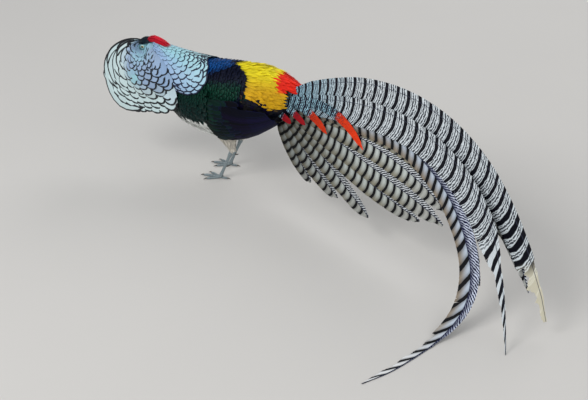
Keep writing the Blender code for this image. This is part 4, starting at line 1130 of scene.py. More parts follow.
def webbed(sheet: Sheet, colour: Any, barb: Wire, rough: float) -> dict[str, Any]:
    """The sockets that all long feathers share: dull, with barbs in relief."""
    return dict(Base_Color=colour, Roughness=rough, Specular_IOR_Level=0.15,
                Normal=sheet.bump(barb, 0.35, 0.0002))


@dataclass(frozen=True)
class Barred(Finish):
    """A long central tail feather: pale ground, curved dark bars and fine broken wavy lines between them.

    Past the share open_from the wavy lines give way to open cells; past cream_from all pales to cream.
    """

    ground: Colour = hue(220, 228, 232)
    tint: Colour = hue(146, 196, 216)
    bar: Colour = hue(3, 4, 16)
    line: Colour = hue(12, 16, 34)
    shaft: Colour = hue(40, 44, 62)
    cream: Colour = hue(226, 220, 196)
    bar_share: float = 0.165
    lines: float = 5.0
    open_from: float = 0.9
    heavy: float = 1.0
    cream_from: float = 1.1

    def paint(self, sheet: Sheet) -> dict[str, Any]:
        """Ground, wavy lines, bars, cream tip and shaft, in this order."""
        q, v, _ = sheet.flat("bars")
        off, _, vector, barb = sheet.barbs(0.5, LONG_BARBS)
        reach = sheet.number("reach")
        away = (q + sheet.sway(vector, 55.0, 0.24, 3.0)).middle() * v.ramp(-0.6, 1.0, 1.0, 1.3)
        away = away * reach.ramp(self.open_from - 0.05, self.open_from + 0.02, 1.0, 0.55)
        away = away * reach.ramp(0.7, 0.82, 1.0, self.heavy)
        fine = wavy(sheet, q, vector, self.lines) * away.ramp(self.bar_share * 1.15, self.bar_share * 1.5)
        fine = fine * reach.ramp(self.open_from - 0.03, self.open_from, 1.0, 0.12)
        colour = sheet.gain(sheet.mix(self.tint, self.ground, reach.ramp(0.03, 0.3)), 0.95 + barb * 0.05)
        for over, share in ((self.line, fine * 0.94),
                            (self.bar, away.ramp(self.bar_share * 0.85, self.bar_share * 1.12, 1.0, 0.0)),
                            (self.cream,
                             reach.ramp(self.cream_from - 0.02, self.cream_from + 0.02, 0.0, 0.85)),
                            (self.shaft, off.ramp(0.0004, 0.0009, 0.8, 0.0))):
            colour = sheet.mix(colour, over, share)
        return webbed(sheet, colour, barb, 0.5)


@dataclass(frozen=True)
class Scalloped(Finish):
    """The side tail feathers: outer webs of rounded cells between black crescents, streaked inner webs."""

    pale: Colour = hue(198, 206, 204)
    buff: Colour = hue(142, 138, 122)
    black: Colour = hue(4, 5, 10)
    streak: Colour = hue(8, 12, 34)
    between: Colour = hue(220, 226, 232)
    tip: Colour = hue(178, 180, 176)
    line: Colour = hue(20, 28, 60)
    bar_share: float = 0.16
    band: float = 0.0
    shaft: float = -0.3

    def paint(self, sheet: Sheet) -> dict[str, Any]:
        """Both webs, the bars over them and the shaft, dimmed by the stored colour."""
        q, v, _ = sheet.flat("bars")
        off, along, vector, barb = sheet.barbs(0.5, LONG_BARBS)
        away = (q + sheet.sway(vector, 60.0, 0.16)).middle()
        # Pale by the shaft to buff at the outer edge: the web's buff tint, darkened there as painted shade.
        web = sheet.mix(self.pale, self.buff, v.ramp(0.0, 0.95))
        web = sheet.mix(web, self.tip, sheet.number("reach").ramp(0.74, 0.92))
        # Lighter in each cell's middle and darker by the bars: painted shade that rounds the cells.
        web = sheet.gain(web, (0.95 + barb * 0.05) * away.ramp(self.bar_share, 0.46, 0.66, 1.08))
        slant = ((along + off * -1.2) / 0.0072 + sheet.sway(vector, 110.0, 1.3)).middle()
        streaks = slant.ramp(0.23, 0.3, 1.0, 0.0) * sheet.noise(vector, 130.0).ramp(0.29, 0.37)
        inner = sheet.mix(self.between, self.streak, streaks)
        inner = sheet.mix(inner, self.streak, off.ramp(0.001, 0.01, self.band, 0.0))
        colour = sheet.mix(inner, web, v.ramp(self.shaft - 0.02, self.shaft + 0.05))
        bar = away.ramp(self.bar_share * 0.85, self.bar_share * 1.15, 1.0, 0.0)
        colour = sheet.mix(colour, self.black, bar * v.ramp(self.shaft - 0.1, self.shaft + 0.05, 0.25, 1.0))
        colour = sheet.mix(colour, self.line, off.ramp(0.0005, 0.0011, 0.85, 0.0))
        return webbed(sheet, sheet.mix(colour, sheet.tone(), 1.0, "MULTIPLY"), barb, 0.55)


@dataclass(frozen=True)
class Tipped(Finish):
    """The long upper tail coverts: wavy-lined at the root, red towards the tip in the stored colour."""

    dark: Colour = hue(20, 22, 40)
    pale: Colour = hue(156, 200, 216)

    def paint(self, sheet: Sheet) -> dict[str, Any]:
        """Lines and bars at the root, the red over them, and dark flecks in it."""
        q = sheet.flat("bars")[0]
        _, _, vector, barb = sheet.barbs(0.7, LONG_BARBS)
        reach = sheet.number("reach")
        root = sheet.mix(self.pale, self.dark, wavy(sheet, q, vector, 1.0))
        root = sheet.mix(root, self.dark, (q / 3.0).middle().ramp(0.14, 0.19, 1.0, 0.0))
        red = sheet.gain(sheet.tone(), 0.86 + barb * 0.14 + sheet.sway(vector, 90.0, 0.5))
        colour = sheet.mix(root, red, (reach + sheet.sway(vector, 150.0, 0.12)).ramp(0.62, 0.69))
        fleck = sheet.noise(vector, 330.0).ramp(0.52, 0.6) * reach.ramp(0.64, 0.86, 0.85, 0.0)
        return webbed(sheet, sheet.mix(colour, self.dark, fleck), barb, 0.5)


@dataclass(frozen=True)
class Down(Finish):
    """The skin under the feathers: the coat's colours, darker, with fine down."""

    def paint(self, sheet: Sheet) -> dict[str, Any]:
        """The stored colour, mottled and bumped."""
        down = sheet.noise(sheet.place(), 900.0, 3.0)
        return dict(Base_Color=sheet.gain(sheet.tone(), 0.45 + down * 0.5), Roughness=0.8, Sheen_Weight=0.2,
                    Normal=sheet.bump(down, 0.5, 0.0006))


@dataclass(frozen=True)
class Horn(Finish):
    """Bill and claws: smooth horn with growth lines, paler towards the tip between two places along X."""

    base: Colour
    tip: Colour
    from_x: float
    to_x: float
    rough: float = 0.32

    def paint(self, sheet: Sheet) -> dict[str, Any]:
        """The two colours by place, with the lines over them."""
        place = sheet.place()
        lines = sheet.noise(place, 1400.0)
        share = (sheet.split(place)[0] - self.from_x) / (self.to_x - self.from_x)
        colour = sheet.mix(self.base, self.tip, share.ramp(0.1, 1.0))
        return dict(Base_Color=sheet.gain(colour, 0.85 + lines * 0.3), Roughness=self.rough,
                    Specular_IOR_Level=0.5, Normal=sheet.bump(lines, 0.15, 0.0002))


@dataclass(frozen=True)
class Scutes(Finish):
    """Scaled skin of shank and toes: blue-grey plates with dark joints."""

    plate: Colour = hue(128, 140, 144)
    joint: Colour = hue(58, 64, 66)

    def paint(self, sheet: Sheet) -> dict[str, Any]:
        """The two colours by the stored relief, with specks."""
        speck = sheet.noise(sheet.place(), 900.0, 3.0)
        colour = sheet.mix(self.joint, self.plate, sheet.number("relief").ramp(0.1, 0.6))
        return dict(Base_Color=sheet.gain(colour, 0.8 + speck * 0.4), Roughness=0.5, Specular_IOR_Level=0.4,
                    Normal=sheet.bump(speck, 0.25, 0.0003))


@dataclass(frozen=True)
class Iris(Finish):
    """The eye: dark pupil, pale iris with rays and a dark outer ring, under a clear coat."""

    centre: Point
    pupil: float = 0.0021
    iris: float = 0.0042

    def paint(self, sheet: Sheet) -> dict[str, Any]:
        """Rings by distance from the eye's own axis."""
        away = sheet.node("ShaderNodeVectorMath", {"operation": "SUBTRACT"},
                          {0: sheet.place(), 1: self.centre})
        x, _, z = sheet.split(away.outputs[0])
        radius = (x * x + z * z) ** 0.5
        iris = sheet.gain(hue(222, 208, 150), 0.9 + (sheet.math("ARCTAN2", z, x) * 46.0).wave() * 0.08)
        colour = sheet.mix(hue(6, 6, 8), iris, radius.above(self.pupil, 0.00012))
        return dict(Base_Color=sheet.mix(colour, hue(28, 28, 26), radius.above(self.iris, 0.0003)),
                    Roughness=0.08, Coat_Weight=1.0, Coat_Roughness=0.02)


@dataclass(frozen=True)
class Plain(Finish):
    """A surface of one colour with a slight mottle and bump: eyelids and the floor."""

    colour: Colour
    rough: float
    scale: float
    mottle: float = 0.2
    bump: float = 0.2

    def paint(self, sheet: Sheet) -> dict[str, Any]:
        """The colour with its mottle."""
        grain = sheet.noise(sheet.place(), self.scale, 3.0)
        return dict(Base_Color=sheet.gain(self.colour, 1.0 - self.mottle / 2 + grain * self.mottle),
                    Roughness=self.rough, Normal=sheet.bump(grain, self.bump, 0.0003))


# ---- workshop
@dataclass
class Workshop:
    """What every sub-assembly needs: the stance and a way to finish and declare a piece."""

    stance: Stance
    finishes: dict[str, bpy.types.Material] = field(default_factory=dict)
    count: int = 0

    def declare(self, item: Item, replaces: Sequence[str]) -> None:
        """Makes a piece ride on the body, names its slot and the solids it stands for."""
        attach(item, "root")
        if replaces:
            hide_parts(*replaces)
        self.count += 1
        LOG.info("%s: %d faces", item.name, len(item.data.polygons))

    def piece(self, kit: Kit, finish: Finish, slot: str, *replaces: str) -> None:
        """Builds and declares a kit's piece; pieces whose finish has one name share a material."""
        if finish.name not in self.finishes:
            self.finishes[finish.name] = finish.make()
        self.declare(kit.build(self.stance, self.finishes[finish.name]), replaces)


class Side(Enum):
    """The bird's two sides."""

    LEFT = -1.0
    RIGHT = 1.0

    @property
    def word(self) -> str:
        """The side in lower case."""
        return self.name.lower()


def turned(faces: Sequence[Array], by: float) -> list[Array]:
    """The faces as they are, or turned over where by is below 0."""
    return [f if by > 0 else f[:, ::-1] for f in faces]


def ring_faces(rings: int, sides: int) -> list[Array]:
    """Faces of a closed tube of rings, wound outwards when the rings turn about the way they advance."""
    low, j = np.arange(rings - 1)[:, None] * sides, np.arange(sides)
    k = (j + 1) % sides
    quads = stack(low + j, low + k, low + sides + k, low + sides + j).reshape(-1, 4)
    return [quads, j[::-1][None], ((rings - 1) * sides + j)[None]]


def tube(kit: Kit, path: Array, radii: Array, sides: int, **values: Array) -> None:
    """Adds a closed tube about a path: point + radius (cos a side - sin a lift), so that it faces outwards.

    Args:
        kit: the piece.
        path: middle line.
        radii: one radius a point, or one a point and side.
        sides: points round.
        values: values of the tube's points.
    """
    ways = unit(np.gradient(path, axis=0))
    side = unit(np.cross(ways, np.where(np.abs(ways[:, 2:3]) < 0.95, [[0.0, 0.0, 1.0]], [[1.0, 0.0, 0.0]])))
    lift, turn = np.cross(side, ways), turns(sides)[:, None]
    out = np.cos(turn) * side[:, None] - np.sin(turn) * lift[:, None]
    kit.add(path[:, None] + radii.reshape(len(path), -1, 1) * out, ring_faces(len(path), sides), **values)


# ---- skin
@dataclass
class Skin:
    """One skin under all the feathers, from the same sections as the solids, drawn in by the coat's depth."""

    voxel: float = 0.0019
    around: int = 48
    smoothing: int = 6

    def build(self, shop: Workshop) -> None:
        """Joins the lofts, remeshes and smooths them, and stores colours and the unwrap."""
        kit = Kit("skin")
        lofts = [(TORSO, -0.123, 0.165, 40, -0.0025), (NeckTube(), -0.15, 1.1, 20, -0.0025),
                 (HEAD, BILL_BASE + 0.0003, HEAD_ROWS[-1][0] + HEAD_CENTRE[0], 30, -0.001)]
        lofts += [(ThighTube(side.value), -0.1, 0.98, 20, -0.002) for side in Side]
        for surface, first, last, count, inset in lofts:
            rows = np.linspace(first, last, count)[:, None]
            kit.add(surface.point(rows, np.linspace(0, 360, self.around, endpoint=False), inset),
                    ring_faces(count, self.around))
        item = kit.build(Stance((0.0, 0.0, 0.0)), Down("skin_down").make())
        self._outwards(item)
        remesh = item.modifiers.new("one_skin", "REMESH")
        remesh.mode, remesh.voxel_size, remesh.adaptivity = "VOXEL", self.voxel, 0.0
        smooth = item.modifiers.new("soften", "CORRECTIVE_SMOOTH")
        smooth.use_only_smooth, smooth.iterations, smooth.smooth_type = True, self.smoothing, "SIMPLE"
        mesh = bpy.data.meshes.new_from_object(item.evaluated_get(bpy.context.evaluated_depsgraph_get()))
        item.modifiers.clear()
        item.data = mesh
        self._store(mesh, shop.stance)
        shop.declare(item, ("torso", "neck", "head", "thigh_left", "thigh_right"))

    @staticmethod
    def _outwards(item: Item) -> None:
        """Turns every loft's faces outwards."""
        bm = bmesh.new()
        bm.from_mesh(item.data)
        bmesh.ops.recalc_face_normals(bm, faces=bm.faces)
        bm.to_mesh(item.data)
        bm.free()

    @staticmethod
    def _store(mesh: bpy.types.Mesh, stance: Stance) -> None:
        """Colours by place, the unwrap without faces across its seam, and the move to the frame."""
        points = fetch(mesh.vertices, "co", 3, np.float32).reshape(-1, 3).astype(float)
        leg = ease(0.0, 0.012, 0.118 - points[:, 2]) * ease(-0.01, 0.0, points[:, 0])
        loops, starts = fetch(mesh.loops, "vertex_index"), fetch(mesh.polygons, "loop_start")
        Kit.store(mesh, "tone", blend(Livery.body(points), Livery.THIGH, leg), loops)
        flat = Unwrap.body(points)[loops]
        owner = np.searchsorted(starts, np.arange(len(loops)), side="right") - 1
        high = np.maximum.reduceat(flat[:, 1], starts)[owner]
        flat[:, 1] = np.where(high - flat[:, 1] > 0.4 * Unwrap.BODY_TALL, high, flat[:, 1])
        Kit.store(mesh, "OFBake", flat, np.arange(len(flat)))
        mesh.vertices.foreach_set("co", stance.place(points).astype(np.float32).ravel())
        mesh.update()
        mesh.shade_smooth()


# ---- body plumage
@dataclass
class Plumage:
    """The short feathers of breast, belly, mantle, rump, neck and thighs, laid in shingled rows."""

    seed: int = 11
    shoulder: Table = (       # x and tip lift of rows over the wing's leading edge
        (-0.035, 0.004), (-0.028, 0.0048), (-0.021, 0.0066), (-0.014, 0.0098), (-0.007, 0.0135))
    small: Blade = Blade(rows=(0.0, 0.4, 0.72, 1.0), columns=(-1.0, 0.0, 1.0), widest=0.5, base=0.4,
                         power=1.9, tip=0.12, camber=0.22)
    scale: Blade = Blade(rows=(0.0, 0.42, 0.7, 0.88, 1.0), columns=(-1.0, -0.62, 0.0, 0.62, 1.0), widest=0.55,
                         base=0.5, power=2.3, tip=0.22, camber=0.16)
    plume: Blade = Blade(rows=(0.0, 0.35, 0.65, 0.86, 1.0), columns=(-1.0, 0.0, 1.0), widest=0.45, base=0.45,
                         power=1.5, tip=0.04, camber=0.2)

    def lay(self, kit: Kit, surface: Surface, roots: Array, reach: Array, blade: Blade, lay: Lay, half: float,
            tone: Callable[[Array], Array] = Livery.body, place: Pattern | None = None) -> None:
        """Adds one shingled coat.

        Args:
            kit: the piece.
            surface: what it grows on.
            roots: parameters of the roots.
            reach: steps in the two parameters from root to tip, one for all or one each.
            blade: the cut.
            lay: how they lie.
            half: half width.
            tone: colour by place.
            place: the roots' places on the unwrap, if it isn't the body's.
        """
        count, rng = len(roots), kit.rng
        steps = reach * (1.0 + 0.12 * rng.uniform(-1, 1, (count, 1)))
        steps = steps + stack(0.0, 2.2 * rng.uniform(-1, 1, count))
        centres, ups = lay.over(surface, roots, roots + steps, blade, rng)
        halves = half * (1.0 + 0.14 * rng.uniform(-1, 1, count))
        blade.cut(kit, centres, ups, halves, tone(centres[:, (3 * len(blade.rows)) // 4]),
                  place(*roots.T) if place else Unwrap.body(centres[:, 0]), rng.random(count))

    @staticmethod
    def _roots(first: float, past: float, step: float, span: Span, gap: float, rng: Draws,
              jitter: float = 0.25) -> Array:
        """Roots on the torso in rows from one x to another."""
        return tiles(TORSO, np.arange(first, past, step), span, gap, rng, jitter)

    @staticmethod
    def _both_sides(roots: Array) -> Array:
        """Roots of the near side, and the same on the far side."""
        return np.concatenate([roots, roots * (1, -1) + (0, 180)])

    @staticmethod
    def _behind(roots: Array) -> Array:
        """How far roots lie behind the mantle's rear edge."""
        return roots[:, 0] - Livery.saddle(np.minimum(roots[:, 1], 180.0 - roots[:, 1]))

    @staticmethod
    def _dark(points: Array) -> Array:
        """The body's colours, with the breast's in place of white and yellow."""
        tone = Livery.body(points)
        return blend(tone, Livery.BREAST, ease(0.04, 0.12, tone[..., 0]))

    def vent(self, shop: Workshop) -> None:
        """Dark violet feathers of the flank behind the wing and under the tail."""
        kit = Kit("coat_vent", self.seed + 6)
        roots = self._both_sides(self._roots(0.066, 0.176, 0.0072, lambda x: (-88.0, Livery.hem(x) - 3.0),
                                             0.0088, kit.rng))
        tones = np.array([Livery.NAVY, hue(16, 10, 40), hue(30, 28, 30)])
        self.lay(kit, TORSO, roots, stack(0.019, 5.0 * cosine(roots[:, 1])), self.small,
                 Lay(-0.0012, 0.0034, tilt=8.0), 0.0068,
                 lambda points: tones[kit.rng.integers(0, 3, len(points))])
        shop.piece(kit, Scaled("vent_feathers", rim_share=0.3, rough=0.6, gloss=0.12), "mantle")

    def breast(self, shop: Workshop) -> None:
        """Breast and flanks: dark green-black scales with an emerald band."""
        kit = Kit("coat_breast", self.seed)
        roots = self._both_sides(
            self._roots(-0.121, 0.082, 0.0072, lambda x: (-90.0, 60.0 if x < -0.06 else 30.0), 0.0082,
                        kit.rng))
        points = TORSO.point(*roots.T)
        roots = roots[points[:, 2] > 0.156 - 0.35 * np.maximum(points[:, 0] - 0.005, 0.0)]
        self.lay(kit, TORSO, roots, stack(0.015, -8.0 * cosine(roots[:, 1])), self.scale,
                 Lay(-0.0015, 0.0022, tilt=6.0), 0.006, self._dark)
        # The band settings paint an emerald sheen near each rim.
        shop.piece(kit, Scaled("breast_scales", rim=hue(2, 6, 10), rim_width=0.001, band=5.0, sheen_band_share=0.6,
                               root=0.5, rough=0.42, metal=0.2, gloss=0.1), "mantle")

    @staticmethod
    def _deep(points: Array) -> Array:
        """The body's colours with navy in place of yellow."""
        tone = Livery.body(points)
        return blend(tone, Livery.NAVY, ease(0.05, 0.2, tone[..., 0]))

    def belly(self, shop: Workshop) -> None:
        """Loose white hair-like plumes that hang below the breast and between the legs."""
        kit = Kit("coat_belly", self.seed + 1)
        roots = self._roots(-0.105, 0.125, 0.0058, lambda x: (-165.0, -15.0), 0.0056, kit.rng, 0.45)
        points = TORSO.point(*roots.T)
        roots = roots[points[:, 2] < 0.16 - 0.1 * np.maximum(points[:, 0], 0.0)]
        self.lay(kit, TORSO, roots, stack(0.02, -6.0 * cosine(roots[:, 1])), self.plume,
                 Lay(-0.0015, 0.0034, 0.0006, 0.6, 16.0), 0.003)
        shop.piece(kit, Strands("belly_plumes"), "mantle")

    def mantle(self, shop: Workshop) -> None:
        """The mantle's rounded scales with a bright band inside a black rim."""
        kit = Kit("coat_mantle", self.seed + 2)
        roots = self._roots(-0.062, 0.076, 0.0068, lambda x: (2.0, 178.0), 0.0092, kit.rng, 0.16)
        roots = roots[self._behind(roots) < -0.015]
        self.lay(kit, TORSO, roots, stack(0.0165, -4.0 * cosine(roots[:, 1])), self.scale,
                 Lay(-0.001, 0.003, tilt=4.0), 0.007, self._deep)
        for side in Side:
            for x, lift in self.shoulder:
                angle = (np.arange(22.0, -20.0, -7.2) + 3.6 * (round(x * 1000) % 2)
                         + kit.rng.uniform(-1.2, 1.2, 6))
                roots = stack(x + 0.0012 * kit.rng.uniform(-1, 1, 6), angle)
                self.lay(kit, Flank(side.value), roots, np.array([0.0165, -2.0]), self.scale,
                         Lay(0.0002, lift, tilt=4.0), 0.007, self._dark)
        # The band settings paint an emerald sheen near each rim.
        shop.piece(kit, Scaled("mantle_scales", rim=hue(2, 5, 12), rim_width=0.0011, band=5.0, sheen_band_share=0.6,
                               root=0.55, rough=0.4, metal=0.2, gloss=0.1), "mantle")

    def rump(self, shop: Workshop) -> None:
        """Yellow rump plumes, then scarlet ones over the tail's root."""
        kit = Kit("coat_rump", self.seed + 3)
        roots = self._roots(0.036, 0.163, 0.0056, lambda x: (Livery.hem(x), 180.0 - Livery.hem(x)), 0.0062,
                            kit.rng, 0.35)
        roots = roots[self._behind(roots) > -0.007]
        reach = stack(0.024 + 0.004 * kit.rng.random(len(roots)), -9.0 * cosine(roots[:, 1]))
        self.lay(kit, TORSO, roots, reach, self.plume, Lay(-0.001, 0.0034, 0.0004, 0.5, 12.0), 0.0038)
        roots = self._roots(0.14, 0.188, 0.005, lambda x: (44.0, 136.0), 0.005, kit.rng, 0.35)
        self.lay(kit, TORSO, roots, np.array([0.027, 0.0]), self.plume, Lay(0.0008, 0.005, 0.0006, 0.5, 12.0),
                 0.0034)
        shop.piece(kit, Strands("rump_plumes", root=0.8, vary=0.3), "rump", "rump")

    def neck(self, shop: Workshop) -> None:
        """Short dark feathers of throat and neck, under the cape."""
        kit, neck = Kit("coat_neck", self.seed + 4), NeckTube()
        roots = tiles(neck, np.arange(-0.1, 1.0, 0.055), lambda u: (-190.0, 10.0), 0.0062, kit.rng)
        self.lay(kit, neck, roots, np.array([0.15, 0.0]), self.small, Lay(-0.0012, 0.0018), 0.0042,
                 lambda points: np.tile(Livery.THROAT, (len(points), 1)))
        shop.piece(kit, Scaled("neck_scales", rim_width=0.0006, rim_share=0.4), "neck")

    def thighs(self, shop: Workshop) -> None:
        """White down over the thighs, hanging over the joint."""
        kit = Kit("coat_thighs", self.seed + 5)
        for side in Side:
            thigh = ThighTube(side.value)
            roots = tiles(thigh, np.arange(0.3, 0.92, 0.065), lambda u: (0.0, 360.0), 0.0048, kit.rng, 0.4)
            self.lay(kit, thigh, roots, np.array([0.2, 0.0]), self.plume,
                     Lay(-0.0012, 0.0022, 0.0004, 0.4, 12.0), 0.0024,
                     lambda points: np.tile(Livery.THIGH, (len(points), 1)),
                     lambda u, v: Unwrap.thigh(side.value, u, v))
        shop.piece(kit, Strands("thigh_down"), "thigh")

    def build(self, shop: Workshop) -> None:
        """All the coats."""
        for part in (self.breast, self.belly, self.mantle, self.vent, self.rump, self.neck, self.thighs):
            part(shop)


# ---- cape
@dataclass
class Cape:
    """The cape: a hood of rimmed feathers spread on the near side, and its other half down the nape."""

    seed: int = 31
    # tip share, greatest half width, lift at the tip, rim over the widest rim
    fan_rows: Table = (
        (1.0, 0.018, 0.001, 1.0), (0.93, 0.0178, 0.0018, 1.0), (0.86, 0.0172, 0.0026, 1.0),
        (0.79, 0.0164, 0.0035, 0.96), (0.715, 0.0154, 0.0044, 0.92), (0.637, 0.0142, 0.0053, 0.88),
        (0.56, 0.013, 0.0062, 0.84), (0.484, 0.0116, 0.007, 0.8), (0.408, 0.01, 0.0078, 0.74),
        (0.332, 0.0086, 0.0084, 0.68), (0.26, 0.0072, 0.0088, 0.6), (0.19, 0.006, 0.0091, 0.5),
        (0.12, 0.0046, 0.0093, 0.42),
    )
    nape_rows: Table = (
        (1.0, 0.0165, 0.0014, 1.0), (0.945, 0.016, 0.0022, 1.0), (0.888, 0.0155, 0.003, 1.0),
        (0.826, 0.0148, 0.0038, 0.95), (0.752, 0.0136, 0.0047, 0.9), (0.67, 0.0122, 0.0056, 0.86),
        (0.588, 0.0108, 0.0064, 0.7), (0.506, 0.0094, 0.0072, 0.52), (0.424, 0.0082, 0.0079, 0.36),
        (0.345, 0.0072, 0.0085, 0.26), (0.27, 0.0062, 0.009, 0.2), (0.2, 0.0052, 0.0093, 0.2),
        (0.135, 0.0044, 0.0095, 0.2),
    )
    # angles from and to, half width, lift and the shares of the way out
    arcs: tuple[tuple[float, float, float, float, tuple[float, ...]], ...] = (
        (132.0, 250.0, 0.012, 0.0008, (0.975, 0.855, 0.735, 0.615, 0.495)),
        (94.0, 184.0, 0.0078, 0.0016, (0.975, 0.85, 0.725, 0.6, 0.475)))
    across: int = 44        # feathers in a row of the unwrap
    arc: Blade = Blade(rows=tuple(k / 19 for k in range(20)), columns=(-1.0, -0.6, 0.0, 0.6, 1.0), widest=0.7,
                       base=0.3, power=2.3, tip=0.12, camber=0.12, back=True)

    blade: Blade = Blade(rows=(0.0, 0.25, 0.5, 0.68, 0.82, 0.91, 0.965, 1.0),
                         columns=(-1.0, -0.86, -0.5, 0.0, 0.5, 0.86, 1.0), widest=0.6, base=0.5, power=2.3,
                         tip=0.14, camber=0.1, back=True)

    @staticmethod
    def fan_tone(angle: Array, share: Array) -> Array:
        """White with a green-cyan cast outside and to the left, lilac within, blue below on the right."""
        outer = ease(0.56, 0.8, share + 0.22 * np.cos(np.radians(angle - 185.0)))
        # Lilac within: painted shade on the white feathers.
        tone = blend(Livery.CAPE_SHADE_LILAC, Livery.CAPE_WHITE, outer)
        # Blue below on the right: painted shade on the white feathers.
        tone = blend(tone, Livery.CAPE_BLUE, 0.85 * ease(296.0, 320.0, angle) * ease(0.45, 0.65, share))
        # A cyan patch about 250 degrees, halfway out: a painted highlight.
        tone = blend(tone, Livery.CAPE_CYAN, np.exp(-((angle - 250.0) / 14.0)**2 - ((share - 0.5) / 0.12)**2))
        return blend(tone, Livery.CAPE_CYAN, ease(0.34, 0.14, share) * 0.6)

    @staticmethod
    def nape_tone(angle: Array, share: Array) -> Array:
        """Turquoise on top, blue-lilac down the side, paler behind."""
        side = ease(8.0, 52.0, np.abs(angle))
        tone = blend(Livery.CAPE_CYAN, Livery.CAPE_BLUE, side)
        return blend(tone, Livery.CAPE_WHITE, 0.25 * ease(0.45, 0.85, share) * (1.0 - 0.7 * side))

    def _rows(self, kit: Kit, surface: Hood | NapeFan, rows: Table, span: Span, tone: Pattern,
              length: float) -> None:
        """Rows from the rim inwards, staggered and evenly spaced by their own widths.

        Args:
            kit: the piece.
            surface: the hood or the nape.
            rows: tip share, half width, lift and rim of each row.
            span: gives a row's first and last angle.
            tone: colour at an angle and share.
            length: length as a share of the way.
        """
        rng = kit.rng
        for k, (share, half, lift, rim) in enumerate(rows):
            fine = np.linspace(*span(share), 400)
            steps = np.diff(distances(surface.point(fine, share))) / (half * surface.size(fine[:-1]))
            run = np.concatenate([[0.0], np.cumsum(steps)])
            count = max(3, int(round(run[-1] / (1.0 if k < 3 else 1.45))))
            at = (np.arange(count) + (0.75 if k % 2 else 0.25) + 0.1 * rng.uniform(-1, 1, count)) / count
            angle = np.interp(at * run[-1], run, fine)
            angle = angle[k % surface.skip(angle) == 0]
            count = len(angle)
            tip = share * (1.0 + 0.012 * rng.uniform(-1, 1, count))
            slant = surface.slant(angle)
            start = stack(angle - slant, np.maximum(tip - length * (1.0 - 0.022 * np.abs(slant)), 0.0))
            lay = Lay(lift - 0.0014, lift, 0.0004, 0.05, 3.0)
            centres, ups = lay.over(surface, start, stack(angle, tip), self.blade, rng)
            halves = half * surface.size(angle) * (1.0 + 0.05 * rng.uniform(-1, 1, count))
            self.blade.cut(kit, centres, ups, halves, tone(angle, tip),
                           Unwrap.cells(np.arange(count), k, self.across, len(rows) + 2),
                           rng.random(count), (0.02, 0.9 / (len(rows) + 2)))
            bare = sum((np.exp(-((angle - a) / da)**4 - ((tip - b) / db)**4)
                        for a, b, da, db in surface.plain), 0.0 * tip)
            each = len(self.blade.rows) * self.blade.wide
            kit.values["edge"][-1] = kit.values["edge"][-1] / rim + 0.01 * np.repeat(bare > 0.3, each)

    def _arcs(self, kit: Kit, hood: Hood) -> None:
        """Long narrow feathers that run from the crown down the rim at the left, over the rows' ends."""
        rng, rows, t = kit.rng, len(self.fan_rows) + len(self.arcs), np.array(self.arc.rows)
        for k, (first, last, half, rise, shares) in enumerate(self.arcs):
            count, tip = len(shares), np.array(shares)[:, None]
            zigzag = np.where(np.arange(count) % 2, -16.0, 8.0) + 6.0 * rng.uniform(-1, 1, count)
            angle = first + t * (last - 50.0 * (1.0 - tip) + zigzag[:, None] - first)
            share = tip - 0.05 * (1.0 - t)**2 - 0.04 * np.maximum(0.0, t - 0.75) / 0.25
            share = share + k * (0.62 - tip) * 0.75 * (1.0 - t)**4
            lift = 0.001 + 0.0078 * (1.0 - tip) + rise - 0.002 * (1.0 - t)**2
            self.arc.cut(kit, hood.point(angle, share, lift), hood.normal(angle, share),
                         half * (1.0 - 0.35 * (1.0 - tip[:, 0])), self.fan_tone(angle, share),
                         Unwrap.cells(np.arange(count), len(self.fan_rows) + k, self.across, rows),
                         rng.random(count), (0.02, 0.9 / rows))
            reach = kit.values["reach"][-1]
            kit.values["edge"][-1] = kit.values["edge"][-1] * (1.0 + 0.7 * (1.0 - reach)**2)
            kit.values["reach"][-1] = 0.62 + 0.38 * reach

    def fan(self, shop: Workshop) -> None:
        """The hood, from the crown round below the face and up to the neck."""
        kit, hood = Kit("cape_fan_feathers", self.seed), Hood()
        self._rows(kit, hood, self.fan_rows, lambda share: (106.0 + 100.0 * ease(0.34, 0.5, share),
                                                            307.0 + 32.0 * ease(0.92, 0.62, share)),
                   self.fan_tone, 0.27)
        self._arcs(kit, hood)
        rims = Scaled("cape_rims", rim_width=0.005, root=0.86, vary=0.1, rough=0.5, fine=0.2, sheen=0.08)
        shop.piece(kit, rims, "cape", "cape_fan")

    def nape(self, shop: Workshop) -> None:
        """The rear half, from one flank over the back to the other."""
        kit = Kit("cape_nape_feathers", self.seed + 1)
        self._rows(kit, NapeFan(), self.nape_rows,
                   lambda share: (-118.0, 72.0 + 46.0 * ease(0.55, 0.9, share)), self.nape_tone, 0.3)
        shop.piece(kit, Scaled("nape_rims", rim=hue(6, 16, 48), rim_width=0.0035, root=0.86, vary=0.12,
                               rough=0.5, fine=0.2, sheen=0.08), "cape", "cape_nape")

    def build(self, shop: Workshop) -> None:
        """Both halves."""
        self.fan(shop)
        self.nape(shop)


